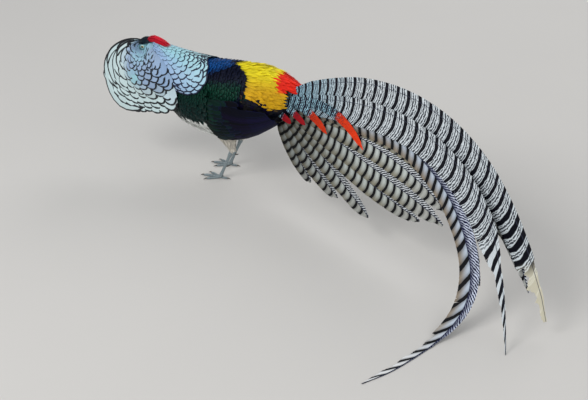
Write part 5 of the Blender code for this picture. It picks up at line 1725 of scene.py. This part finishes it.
# ---- head
@dataclass
class Head:
    """Bill, eyes, lids, face feathers and crest."""

    seed: int = 51
    bill_length: float = 0.0245
    mouth_z: float = 0.2925
    half_width: float = 0.0047
    upper_depth: float = 0.0052
    lower_depth: float = 0.0036
    drop: float = 0.0065
    gape: float = 0.00015
    nostril: Table = ((0.24, 0.07), (0.72, 0.16))       # place and reach along the bill and across it
    globe_grid: tuple[int, int] = (25, 36)
    lid_grid: tuple[int, int] = (48, 10)
    lid_radius: float = 0.0045
    lid_thick: float = 0.0009
    lid_out: float = 0.0034
    bare_ring: float = 0.0062       # no feathers nearer to the eye's middle
    crest: Table = (
        (0.0, -0.172, 0.317), (1 / 3, -0.15, 0.3225), (2 / 3, -0.125, 0.3165), (1.0, -0.103, 0.3045))
    crest_spread: float = 0.0105
    strands: int = 190
    face: Blade = Blade(rows=(0.0, 0.5, 1.0), columns=(-1.0, 0.0, 1.0), widest=0.55, base=0.6, power=2.0,
                        tip=0.3, camber=0.25)
    hair: Blade = Blade(rows=(0.0, 0.2, 0.4, 0.6, 0.8, 1.0), columns=(-1.0, 0.0, 1.0), widest=0.35, base=0.5,
                        power=1.3, tip=0.05, camber=0.3)

    def bill(self, shop: Workshop) -> None:
        """Both halves: half ellipses that shrink by (1 - t)^0.55 and drop by t squared, with a nostril."""
        t, a = np.linspace(0.0, 0.985, 36)[:, None], np.linspace(0, np.pi, 29)
        size, base = (1.0 - t)**0.55, np.linspace(1, -1, 9)[1:-1]
        root, (along, across) = shop.stance.shift[0] + BILL_BASE, self.nostril
        for word, up, depth, reach, power, dent in (("upper", 1, self.upper_depth, 1.0, 0.85, 1.0),
                                                    ("lower", -1, self.lower_depth, 0.86, 1.1, 0.0)):
            hollow = dent * np.exp(-(((t - along[0]) / along[1])**2
                                     + ((np.abs(np.cos(a)) - across[0]) / across[1])**2))
            x = BILL_BASE + 0.002 - (self.bill_length + 0.002) * reach * t
            z = self.mouth_z - self.drop * (reach * t)**2 + up * self.gape
            dome = stack(x, -self.half_width * size * np.cos(a) * (1.0 - 0.16 * hollow),
                         z + up * depth * size * (0.1 + 0.9 * np.sin(a)**power) - 0.0006 * hollow)
            rings = np.concatenate([dome, stack(x, base * self.half_width * size, z)], 1)
            kit = Kit(f"bill_{word}_horn")
            kit.add(rings, turned(ring_faces(*rings.shape[:2]), up))
            horn = Horn(kit.name, hue(108, 118, 116), hue(190, 190, 172), root, root - self.bill_length)
            shop.piece(kit, horn, "bill", "bill_" + word)

    def eyes(self, shop: Workshop) -> None:
        """Globes with a slight bulge in front, and a lid ring round each."""
        polar, turn = np.linspace(0.02, np.pi - 0.02, self.globe_grid[0])[:, None], turns(self.globe_grid[1])
        radius = EYE_RADIUS * (1.0 + 0.05 * np.exp(-(polar / 0.5)**2))
        ring = radius * np.sin(polar)
        globe = stack(ring * np.cos(turn), radius * np.cos(polar), ring * np.sin(turn))
        around, sides = self.lid_grid
        a, b = turns(around)[:, None], turns(sides)
        wide = self.lid_thick * (1.0 + 0.25 * np.sin(a))
        ring = self.lid_radius + wide * np.cos(b)
        lid = stack(np.cos(a) * ring, self.lid_out + 1.3 * wide * np.sin(b), 0.88 * np.sin(a) * ring)
        i, j = np.arange(around)[:, None], np.arange(sides)
        near, far, k = i * sides, (i + 1) % around * sides, (j + 1) % sides
        quads = stack(near + j, far + j, far + k, near + k).reshape(-1, 4)
        lids = Kit("eyelids")
        for side in Side:
            mirror = np.array([1.0, side.value, 1.0])
            kit = Kit(f"eye_{side.word}_globe")
            kit.add((EYE + globe) * mirror, turned(ring_faces(*self.globe_grid), side.value))
            lids.add((EYE + lid) * mirror, turned([quads], side.value))
            place = tuple(map(float, EYE * mirror + shop.stance.shift))
            shop.piece(kit, Iris(kit.name, place), "eye", "eye_" + side.word)
        shop.piece(lids, Plain("eyelid_skin", hue(170, 216, 222), 0.45, 1600.0), "head")

    def face_feathers(self, shop: Workshop) -> None:
        """Tiny feathers of face, throat and crown, up to the eye."""
        kit = Kit("coat_head", self.seed)
        roots = tiles(HEAD, np.arange(-0.187, -0.133, 0.002), lambda x: (-90.0, 270.0), 0.0023, kit.rng)
        points = HEAD.point(*roots.T)
        roots = roots[np.hypot(points[:, 0] - EYE[0], points[:, 2] - EYE[2]) > self.bare_ring]
        lay = Lay(-0.0008, 0.0011, 0.0, 0.3, 6.0)
        centres, ups = lay.over(HEAD, roots, roots + (0.0052, 0.0), self.face, kit.rng)
        halves = 0.0016 * (1.0 + 0.2 * kit.rng.uniform(-1, 1, len(roots)))
        self.face.cut(kit, centres, ups, halves, Livery.body(centres[:, 1]), Unwrap.body(centres[:, 0]),
                      kit.rng.random(len(roots)))
        shop.piece(kit, Scaled("face_feathers", rim_width=0.0003, rim_share=0.5, vary=0.3, root=0.7), "head")

    def crest_strands(self, shop: Workshop) -> None:
        """Hair-like crimson strands from the crown, lying back over the nape."""
        kit, each = Kit("crest_strands", self.seed + 1), (self.strands, 1)
        rng = kit.rng
        across, tier = rng.uniform(-1, 1, each), rng.random(each)
        root = 0.1 + 0.2 * rng.random(each)
        tip = 1.0 - 0.16 * np.abs(across) - 0.22 * rng.random(each)**2
        t = np.array(self.hair.rows)
        at = root + (tip - root) * t
        x, z = read(self.crest, at)
        y = self.crest_spread * across * (1.0 - 0.4 * at) + 0.0012 * rng.uniform(-1, 1, each) * t
        lift = (-0.003 + (0.001 + 0.0085 * tier) * np.minimum(1.0, t * 3.0) * (1.0 - 0.35 * at)
                - 0.006 * across**2)
        centres, ups = stack(x, y, z + lift), unit(stack(0.0, 0.5 * np.sign(y) * np.abs(across), 1.0))
        tone = np.array(Livery.CREST) * (0.75 + 0.5 * rng.random(each))
        halves = 0.0011 * (0.8 + 0.5 * rng.random(self.strands))
        self.hair.cut(kit, centres, ups, halves, tone, Unwrap.body(centres[:, 0]), rng.random(self.strands))
        shop.piece(kit, Strands("crest_hair", 0.5, 0.4), "crest", "crest")

    def build(self, shop: Workshop) -> None:
        """All of the head."""
        for part in (self.bill, self.eyes, self.face_feathers, self.crest_strands):
            part(shop)


# ---- wings
@dataclass
class Wing:
    """A folded, drooped wing: flight feathers in two tiers under rows of coverts."""

    side: Side
    seed: int = 71
    flight: Blade = Blade(rows=(0.0, 0.2, 0.4, 0.6, 0.78, 0.9, 0.97, 1.0),
                          columns=(-1.0, -0.6, -0.1, 0.0, 0.1, 0.6, 1.0),
                          widest=0.5, base=0.6, power=2.2, tip=0.16, camber=0.1)
    covert: Blade = Blade(rows=(0.0, 0.35, 0.65, 0.86, 1.0), columns=(-1.0, -0.6, 0.0, 0.6, 1.0), widest=0.55,
                          base=0.5, power=2.2, tip=0.2, camber=0.14)
    # feathers, x of the roots, then first and last: angle of roots, x of tips, angle of tips; lift
    flights: tuple[tuple[int, float, Pair, Pair, Pair, float], ...] = (
        (9, 0.046, (8, -20), (0.146, 0.16), (-10, -31), 0.015),
        (9, 0.044, (-24, -52), (0.163, 0.167), (-32, -58), 0.0088))
    # x of roots and tips, feathers, lift
    covers: tuple[tuple[float, float, int, float], ...] = (
        (-0.012, 0.086, 11, 0.0148), (-0.014, 0.066, 12, 0.0156), (-0.014, 0.048, 12, 0.016),
        (-0.013, 0.032, 12, 0.0158), (-0.012, 0.018, 12, 0.0148), (-0.011, 0.008, 11, 0.012))
    flight_half: float = 0.0085
    covert_half: float = 0.0072
    darks: tuple[Colour, ...] = (hue(5, 8, 34), hue(13, 8, 40), hue(4, 6, 22))

    def build(self, shop: Workshop) -> None:
        """The whole wing as one piece."""
        kit = Kit(f"wing_{self.side.word}_feathers", self.seed)
        for count, root_x, root_angles, tips, tip_angles, lift in self.flights:
            start = stack(root_x, np.linspace(*root_angles, count))
            end = stack(np.linspace(*tips, count), np.linspace(*tip_angles, count))
            self._tier(kit, start, end, lift - 0.00068 * np.arange(count), self.flight, self.flight_half)
        for root_x, tip_x, count, lift in self.covers:
            t = (np.arange(count) + 0.5) / count
            spread = min(1.0, 0.35 + (tip_x + 0.01) / 0.06)
            angle = 16.0 - 66.0 * t * spread - 22.0 * (1.0 - spread)
            late = 0.03 * ease(0.35, 1.0, t)
            start = stack(max(root_x, tip_x - 0.034) + late, angle + 2.0)
            end = stack(tip_x + 0.014 * (t - 0.4) + 0.005 * kit.rng.uniform(-1, 1, count) + 0.6 * late,
                        angle - 2.0)
            self._tier(kit, start, end, lift - 0.01 * t, self.covert, self.covert_half)
        # The blue-violet rims are a painted sheen on the edges of the dark feathers.
        shop.piece(kit, Scaled(f"wing_{self.side.word}_sheen", rim=hue(22, 28, 72), rim_width=0.0009,
                               rim_share=0.6, root=0.6, rough=0.36, metal=0.2, vary=0.7, gloss=0.12),
                   "wing", "wing_" + self.side.word)

    def _tier(self, kit: Kit, start: Array, end: Array, lifts: Array, blade: Blade, half: float) -> None:
        """One row of overlapping vanes, flat to the shoulder in front."""
        surface, count, rng = Flank(self.side.value), len(start), kit.rng
        u, v = blade.line(start, end)
        centres = surface.point(u, v, lifts[:, None] * (0.12 + 0.88 * ease(-0.016, 0.026, u)))
        tone = np.array(self.darks)[rng.integers(0, len(self.darks), count)]
        tone = blend(Livery.MANTLE, tone, ease(0.01, 0.09, end[:, 0] + 0.018 * rng.uniform(-1, 1, count)))
        place = stack(0.02 + 0.9 * (start[:, 0] + 0.02) / 0.1, 0.1 + 0.8 * (start[:, 1] + 60) / 90)
        blade.cut(kit, centres, surface.normal(u, v), np.full(count, half), tone, place, rng.random(count))


# ---- tail
@dataclass
class Tail:
    """The tail: two long barred central feathers, the side feathers under them and red-tipped coverts."""

    seed: int = 91
    outline: Table = (
        (0.0, 0.14), (0.05, 0.4), (0.12, 0.78), (0.26, 1.0), (0.66, 0.97), (0.86, 0.76), (0.95, 0.48),
        (1.0, 0.1))
    centre_outlines: tuple[Table, ...] = (      # the first narrows early to a long tip
        ((0.0, 0.14), (0.05, 0.4), (0.12, 0.78), (0.26, 1.0), (0.62, 0.97), (0.74, 0.9), (0.79, 0.6),
         (0.83, 0.4), (0.88, 0.3), (0.93, 0.17), (1.0, 0.04)),
        ((0.0, 0.14), (0.05, 0.4), (0.12, 0.78), (0.26, 1.0), (0.66, 0.97), (0.86, 0.78), (0.95, 0.58),
         (1.0, 0.2)))
    seat: float = 0.022
    taper: float = 0.034
    covert_lines: float = 0.0055
    centre: tuple[tuple[float, tuple[float, ...], float, float], ...] = (
        (0.951, (8.8, 79.2, -340.7, 193.0), 0.03, 0.0), (0.955, (26.6, 0.8, -222.0, 140.0), 0.0315, -0.0018))
    centre_pitch: Table = ((-1.2, 9.2), (5.8, -19.4))
    near: tuple[tuple[float, tuple[float, ...], float], ...] = (
        (0.752, (1.4, 69.3, -205.3, 76.6), 0.02), (0.556, (0.8, 4.0, -26.0, 0.0), 0.0245),
        (0.56, (-5.0, -29.9, 66.0, -42.6), 0.025), (0.505, (-16.0, 15.8, -37.0, 36.8), 0.0225),
        (0.39, (-28.0, 48.0, -104.0, 68.0), 0.0205), (0.3, (-43.0, 56.1, -75.7, 50.0), 0.019),
        (0.225, (-55.0, 24.0, 48.0, -44.0), 0.017))
    far_lengths: tuple[float, ...] = (0.86, 0.74, 0.6, 0.52, 0.43, 0.34, 0.27, 0.205)
    far_heading: tuple[float, ...] = (17.5, 42.0, -312.0, 196.0)
    coverts: tuple[tuple[float, tuple[float, ...], float], ...] = (
        (0.316, (8.8, 86.3, -275.1, 148.5), 0.0105), (0.199, (21.2, -64.2, 21.9, -5.7), 0.0095),
        (0.129, (7.7, -44.6, -3.7, 27.6), 0.0085), (0.092, (-38.0, 45.0, 4.4, -23.1), 0.008))
    plume: Table = (
        (0.0, 0.0, -0.0042), (0.189, 0.03, -0.0042), (0.384, 0.038, -0.0042), (0.518, -0.007, -0.0035),
        (0.599, -0.061, 0.002), (0.658, -0.117, 0.014), (0.688, -0.165, 0.026), (0.699, -0.207, 0.042),
        (0.702, -0.242, 0.068), (0.704, -0.268, 0.1), (0.707, -0.29, 0.142), (0.71, -0.321, 0.214),
        (0.701, -0.349, 0.279))
    plume_half: float = 0.026
    plume_turn: Pair = (0.62, 0.78)

    @staticmethod
    def centre_bars(place: Array, seat: Array) -> Array:
        """Bars 16 mm apart at the root and 30 mm from a third of the way on, bowed towards the tip in the
        middle; their lower ends lean to the root on the near half and to the tip on the far half."""
        lean = 0.04 * ease(0.15, 0.7, place) - 0.018
        x = place - 0.009 * (1.0 - seat**2) - lean * (1.0 + seat) / 2
        narrow, growth, turn, wide = 0.016, 0.045, 0.311, 0.03
        first = np.log((narrow + growth * np.minimum(x, turn)) / narrow) / growth
        return first + np.maximum(0.0, x - turn) / wide

    @staticmethod
    def worn_bars(place: Array, seat: Array) -> Array:
        """As above, but slanted along the narrow tip."""
        tip = ease(0.72, 0.77, place)
        return Tail.centre_bars(place, seat * (1.0 - tip)) - tip * 0.6 * seat

    @staticmethod
    def side_bars(place: Array, seat: Array) -> Array:
        """Crescents 22 mm apart, bowed towards the tip in the middle of the outer web."""
        bow, middle, apart = 0.0045, 0.35, 0.022
        return (place - bow * (1.0 - ((seat - middle) / 0.65)**2)) / apart

    @staticmethod
    def plume_bars(place: Array, seat: Array) -> Array:
        """Slanted bars 25 mm apart on the outer web, flatter at its rim, drawn out to 38 mm along the tip."""
        slant, tip_slant, tip_from, apart, tip_apart = 0.019, 0.022, 0.66, 0.025, 0.038
        x = place - slant * seat * (1.5 - 0.5 * seat) / 1.5 - tip_slant * ease(tip_from, 0.84, place) * seat
        return x / apart - np.maximum(0.0, x - tip_from) * (1.0 / apart - 1.0 / tip_apart)

    def _feather(self, kit: Kit, ribbon: Ribbon, path: Array, ups: Array, half: float, pattern: Pattern,
                 strip: tuple[int, int], tone: Colour = (1.0, 1.0, 1.0), table: Table | None = None) -> None:
        """One long feather, narrowed and dark at its root, in strip number k of n on its piece's unwrap."""
        length, (k, n) = distances(path)[-1], strip
        places, widths = np.array(table or self.outline).T

        def outline(share: Array) -> Array:
            """Half width, narrowed to the quill at the root."""
            narrow = np.minimum(1.0, 0.25 + np.maximum(0.0, share * length - self.seat) / self.taper)
            return half * np.interp(share, places, widths) * narrow

        def shade(share: Array, seat: Array) -> Array:
            """The colour, darker at the root."""
            return np.array(tone) * (0.45 + 0.55 * ease(0.0, 0.35, share * length))[..., None]

        ribbon.cut(kit, path, ups, outline, pattern, (k / n, 1.0 / n), self.seat + 0.006, shade)

    def central(self, shop: Workshop) -> None:
        """The two long central feathers."""
        rng = np.random.default_rng(self.seed)
        looks = (("near", Barred("tail_centre_near", open_from=0.785), self.worn_bars, 0.2, 0.45,
                  ("tail_central",)),
                 ("far", Barred("tail_centre_far", open_from=0.93, heavy=0.62, cream_from=0.89),
                  self.centre_bars, 0.13, 0.8, ()))
        for k, (word, finish, pattern, fray, tatter, replaced) in enumerate(looks):
            length, heading, half, height = self.centre[k]
            kit = Kit(f"tail_centre_feather_{word}", rng)
            self._feather(kit, Ribbon(splits=22.0, fray=fray, tatter=tatter, camber=0.03, shaft=-0.62),
                          TAIL.path(length, heading, self.centre_pitch[k], height), TAIL.axes()[2], half,
                          pattern, (0, 1), table=self.centre_outlines[k])
            shop.piece(kit, finish, "tail_centre", *replaced)

    def sides(self, shop: Workshop) -> None:
        """The side feathers, near and far."""
        face = TAIL.axes()[2]
        finish, ribbon = Scalloped("tail_side_crescents"), Ribbon(camber=0.02, shaft=-0.3)
        near = Kit("tail_near_feathers", self.seed + 1)
        far = Kit("tail_far_feathers", near.rng)
        # Each further near feather's colour is dimmed 0.93 a step: painted shade from the feathers over it.
        for k, (length, heading, half) in enumerate(self.near):
            self._feather(near, ribbon, TAIL.path(length, heading, (0.0,), -0.0068 - 0.0014 * k), face, half,
                          self.side_bars, (k, 7), tuple(v * 0.93**k for v in (1.0, 0.99, 0.96)))
        for k, length in enumerate(self.far_lengths):
            heading = [h * length**n - 1.4 * k * (n == 0) for n, h in enumerate(self.far_heading)]
            bend = [p * (length / self.centre[1][0])**(n + 2) for n, p in enumerate(self.centre_pitch[1])]
            self._feather(far, ribbon, TAIL.path(length, heading, bend, -0.0182 - 0.0014 * k), face,
                          0.021 - 0.0006 * k, self.side_bars, (k, 8))
        shop.piece(near, finish, "tail_side", "tail_near")
        shop.piece(far, finish, "tail_side", "tail_far")

    def long_plume(self, shop: Workshop) -> None:
        """The long feather that sweeps down and lies along the floor."""
        kit = Kit("tail_plume_feather", self.seed + 2)
        rows = [(k / (len(self.plume) - 1), *point) for k, point in enumerate(self.plume)]
        path = TAIL.point(*read(rows, np.linspace(0, 1, 300)))
        path[:, 2] = np.maximum(path[:, 2], 0.0012)
        reach = distances(path)
        lay = ease(*self.plume_turn, reach / reach[-1])[:, None]
        ups = unit((1 - lay) * TAIL.axes()[2] + lay * np.array([0.0, 0.0, 1.0]))
        ribbon = Ribbon(camber=0.02, shaft=-0.05, splits=20.0, fray=0.2,
                        inner=((0.0, 1.0), (0.6, 1.0), (0.74, 0.62), (0.82, 0.22), (1.0, 0.1)))
        self._feather(kit, ribbon, path, ups, self.plume_half, self.plume_bars, (0, 1))
        bars = Scalloped("tail_plume_bars", pale=hue(186, 198, 212), buff=hue(140, 128, 112), bar_share=0.18,
                         between=hue(206, 214, 232), streak=hue(10, 16, 58), tip=hue(226, 228, 228),
                         band=0.75, shaft=-0.05)
        shop.piece(kit, bars, "tail_side", "tail_long_plume")

    def red_coverts(self, shop: Workshop) -> None:
        """The long narrow coverts with red tips."""
        kit = Kit("tail_red_feathers", self.seed + 3)
        for k, (length, heading, half) in enumerate(self.coverts):
            self._feather(kit, Ribbon(camber=0.12, splits=10.0),
                          TAIL.path(length, heading, (0.0,), 0.003 + 0.0016 * k), TAIL.axes()[2], half,
                          lambda place, seat: place / self.covert_lines, (k, 4),
                          hue(244, 62, 14) if k < 2 else hue(206, 16, 34))
        shop.piece(kit, Tipped("tail_red_tips"), "tail_red", "tail_coverts")

    def build(self, shop: Workshop) -> None:
        """The whole tail."""
        for part in (self.central, self.sides, self.long_plume, self.red_coverts):
            part(shop)


# ---- legs
@dataclass
class Leg:
    """A shank with scutes, four toes flat on the floor, claws and a spur."""

    side: Side
    spread: float = 0.033
    joint: Pair = (0.052, 0.0807)
    ankle: Pair = (0.022, 0.0085)
    radii: tuple[float, ...] = (0.005, 0.0051, 0.0037, 0.0033, 0.0033, 0.0036, 0.0044)
    toes: Table = (
        (0.0, 0.043, 0.0034), (27.0, 0.034, 0.0031), (-27.0, 0.034, 0.0031), (180.0, 0.016, 0.0026))
    toe_rows: Table = (
        (-0.1, 0.95, 1.9), (0.18, 1.0, 1.1), (0.42, 0.86, 0.78), (0.66, 0.92, 0.82), (0.88, 0.8, 0.72),
        (1.0, 0.55, 0.5))
    shank_plates: Pair = (0.0052, 0.00035)      # length and relief of a plate
    toe_plates: Pair = (0.0036, 0.00022)
    claw_length: float = 0.008
    claw_rows: Table = (
        (-0.35, 0.0022, 0.0012), (0.15, 0.0028, 0.0014), (0.6, 0.0019, 0.0009), (1.0, 0.0006, 0.0003))
    spur: Table = (      # share, step from the shank, half thickness
        (0.0, 0.0005, -0.001, 0.0, 0.002), (0.5, 0.007, -0.003, 0.001, 0.0014),
        (1.0, 0.013, -0.005, 0.004, 0.0003))

    @staticmethod
    def plates(along: Array, turn: Array, pitch: float, depth: float) -> tuple[Array, Array]:
        """Relief of overlapping plates on the front, small hexagons behind: swell and plate mask.

        Args:
            along: distance along the path.
            turn: angle round it.
            pitch: length of a plate.
            depth: height of its lower edge.

        Returns:
            Height and how far a place is from a joint, 0 to 1.
        """
        front = 0.5 + 0.5 * np.cos(turn)
        saw = (along / pitch) % 1.0
        plate = np.clip(np.minimum(saw, 1.0 - saw) * 5.0, 0.0, 1.0)
        small = np.clip(1.2 * np.abs(np.sin(along / pitch * 2 * np.pi) * np.sin(turn * 6)), 0, 1)
        mask = np.where(front > 0.35, plate, 0.4 + 0.6 * small)
        return depth * (mask - 0.5 + 0.3 * (saw - 0.5)), mask

    def _limb(self, kit: Kit, path: Array, radii: Array, sides: int, pitch: float, depth: float) -> None:
        """A scaled tube along a path."""
        swell, mask = self.plates(distances(path)[:, None], turns(sides) + np.pi / 2, pitch, depth)
        tube(kit, path, radii + swell, sides, relief=mask)

    def build(self, shop: Workshop) -> None:
        """The shank with its toes, then claws and spur."""
        side, word, up = self.side.value, self.side.word, np.array([0.0, 0.0, 1.0])
        kit, claws = Kit(f"foot_{word}_scaled"), Kit(f"foot_{word}_claws")
        top, low = (np.array([x, side * self.spread, z]) for x, z in (self.joint, self.ankle))
        t = np.linspace(0, 1, 110)[:, None]
        radii = read([(k / 6, r) for k, r in enumerate(self.radii)], t)[0]
        self._limb(kit, top + t * (low - top), radii, 20, *self.shank_plates)
        for turn, length, radius in self.toes:
            way = np.array([-cosine(turn), -sine(turn) * side, 0.0])
            s = np.linspace(-0.1, 1.0, 60)[:, None]
            swell, height = read(self.toe_rows, s)
            path = low * (1, 1, 0) + s * length * way + height * radius * up
            self._limb(kit, path, radius * swell, 14, *self.toe_plates)
            s = np.linspace(-0.35, 1.0, 16)[:, None]
            height, thick = read(self.claw_rows, s)
            tube(claws, low * (1, 1, 0) + (length + self.claw_length * s) * way + height * up, thick, 10)
        s = np.linspace(0, 1, 12)
        x, y, z, thick = read(self.spur, s)
        tube(claws, top + (low - top) * 4 / 6 + stack(x, side * y, z), thick, 10)
        shop.piece(kit, Scutes(f"leg_{word}"), "leg", "foot_" + word)
        shop.piece(claws, Horn(claws.name, hue(96, 92, 84), hue(70, 66, 60), 1.0, 0.0, 0.4), "leg")


# ---- studio
@dataclass
class Studio:
    """Pale floor, soft lights and the camera."""

    lens: float = 85.714
    eye: Point = (1.07291, -2.71409, 1.59988)
    right: Point = (0.95106, 0.30902, 0.0)
    up: Point = (-0.15451, 0.47553, 0.86603)
    reach: float = 14.0
    gap: float = 0.0002
    sky: tuple[float, ...] = (0.93, 0.96, 1.0, 1.0)
    sky_strength: float = 0.55
    lamps: tuple[tuple[str, Point, Point, float, float], ...] = (        # name, place, aim, size, power
        ("key", (-1.6, -2.2, 2.8), (0.0, 0.0, 0.15), 1.8, 62.0),
        ("fill", (2.4, -1.6, 1.6), (0.0, 0.0, 0.1), 2.2, 18.0),
        ("back", (0.6, 2.6, 2.4), (0.0, 0.0, 0.2), 2.0, 24.0))

    def floor(self) -> None:
        """A large flat plate just below the floor level."""
        kit = Kit("studio_floor")
        corners = np.array([(-1, -1, 0), (1, -1, 0), (1, 1, 0), (-1, 1, 0)]) * self.reach - (0, 0, self.gap)
        kit.add(corners, [np.array([[0, 1, 2, 3]])])
        item = kit.build(Stance((0, 0, 0)),
                         Plain("studio_paper", (0.62, 0.6, 0.57), 0.85, 3.0, 0.03, 0.0).make())
        item.data.vertices.foreach_set("co", corners.astype(np.float32).ravel())
        item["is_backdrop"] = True

    def lights(self) -> None:
        """A broad key from the camera's left, weak lights on the right and behind, and pale surroundings."""
        for name, place, aim, size, power in self.lamps:
            light = bpy.data.lights.new(name, "AREA")
            light.energy, light.size = power, size
            way = unit(np.array(aim) - place)
            side = unit(np.cross(way, (0.0, 0.0, 1.0)))
            self._hang(name, light, np.array(place), side, np.cross(side, way))
        world = bpy.data.worlds.new("studio")
        world.use_nodes = True
        colour, strength = world.node_tree.nodes["Background"].inputs[:2]
        colour.default_value, strength.default_value = self.sky, self.sky_strength
        bpy.context.scene.world = world
        bpy.context.scene.view_settings.view_transform = "Standard"

    @staticmethod
    def _hang(name: str, data: Any, place: Array, right: Array, up: Array) -> Item:
        """A new object at a place with its X and Y along two directions."""
        item = bpy.data.objects.new(name, data)
        bpy.context.scene.collection.objects.link(item)
        matrix = np.eye(4)
        matrix[:3] = np.stack([right, up, np.cross(right, up), place], 1)
        item.matrix_world = Matrix(matrix.tolist())
        return item

    def camera(self, stance: Stance) -> None:
        """The camera, placed in the bird's coordinates."""
        camera = bpy.data.cameras.new("view")
        camera.lens, camera.sensor_width, camera.sensor_fit = self.lens, 36.0, "HORIZONTAL"
        place = np.array(self.eye) + stance.shift
        bpy.context.scene.camera = self._hang("view", camera, place, np.array(self.right), np.array(self.up))

    def build(self, stance: Stance) -> None:
        """All of the studio."""
        self.floor()
        self.lights()
        self.camera(stance)


def main() -> None:
    """Builds and dresses the bird, then records both boxes."""
    logging.basicConfig(level=logging.INFO, format="%(name)s %(message)s")
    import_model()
    shop = Workshop(Stance.from_frame())
    Skin().build(shop)
    Plumage().build(shop)
    Cape().build(shop)
    Head().build(shop)
    for side in Side:
        Wing(side).build(shop)
        Leg(side).build(shop)
    Tail().build(shop)
    Studio().build(shop.stance)
    dressed_box = [list(map(float, corner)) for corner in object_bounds()]
    LOG.info("%d pieces; %s", shop.count, dressed_box)


if __name__ == "__main__":
    main()
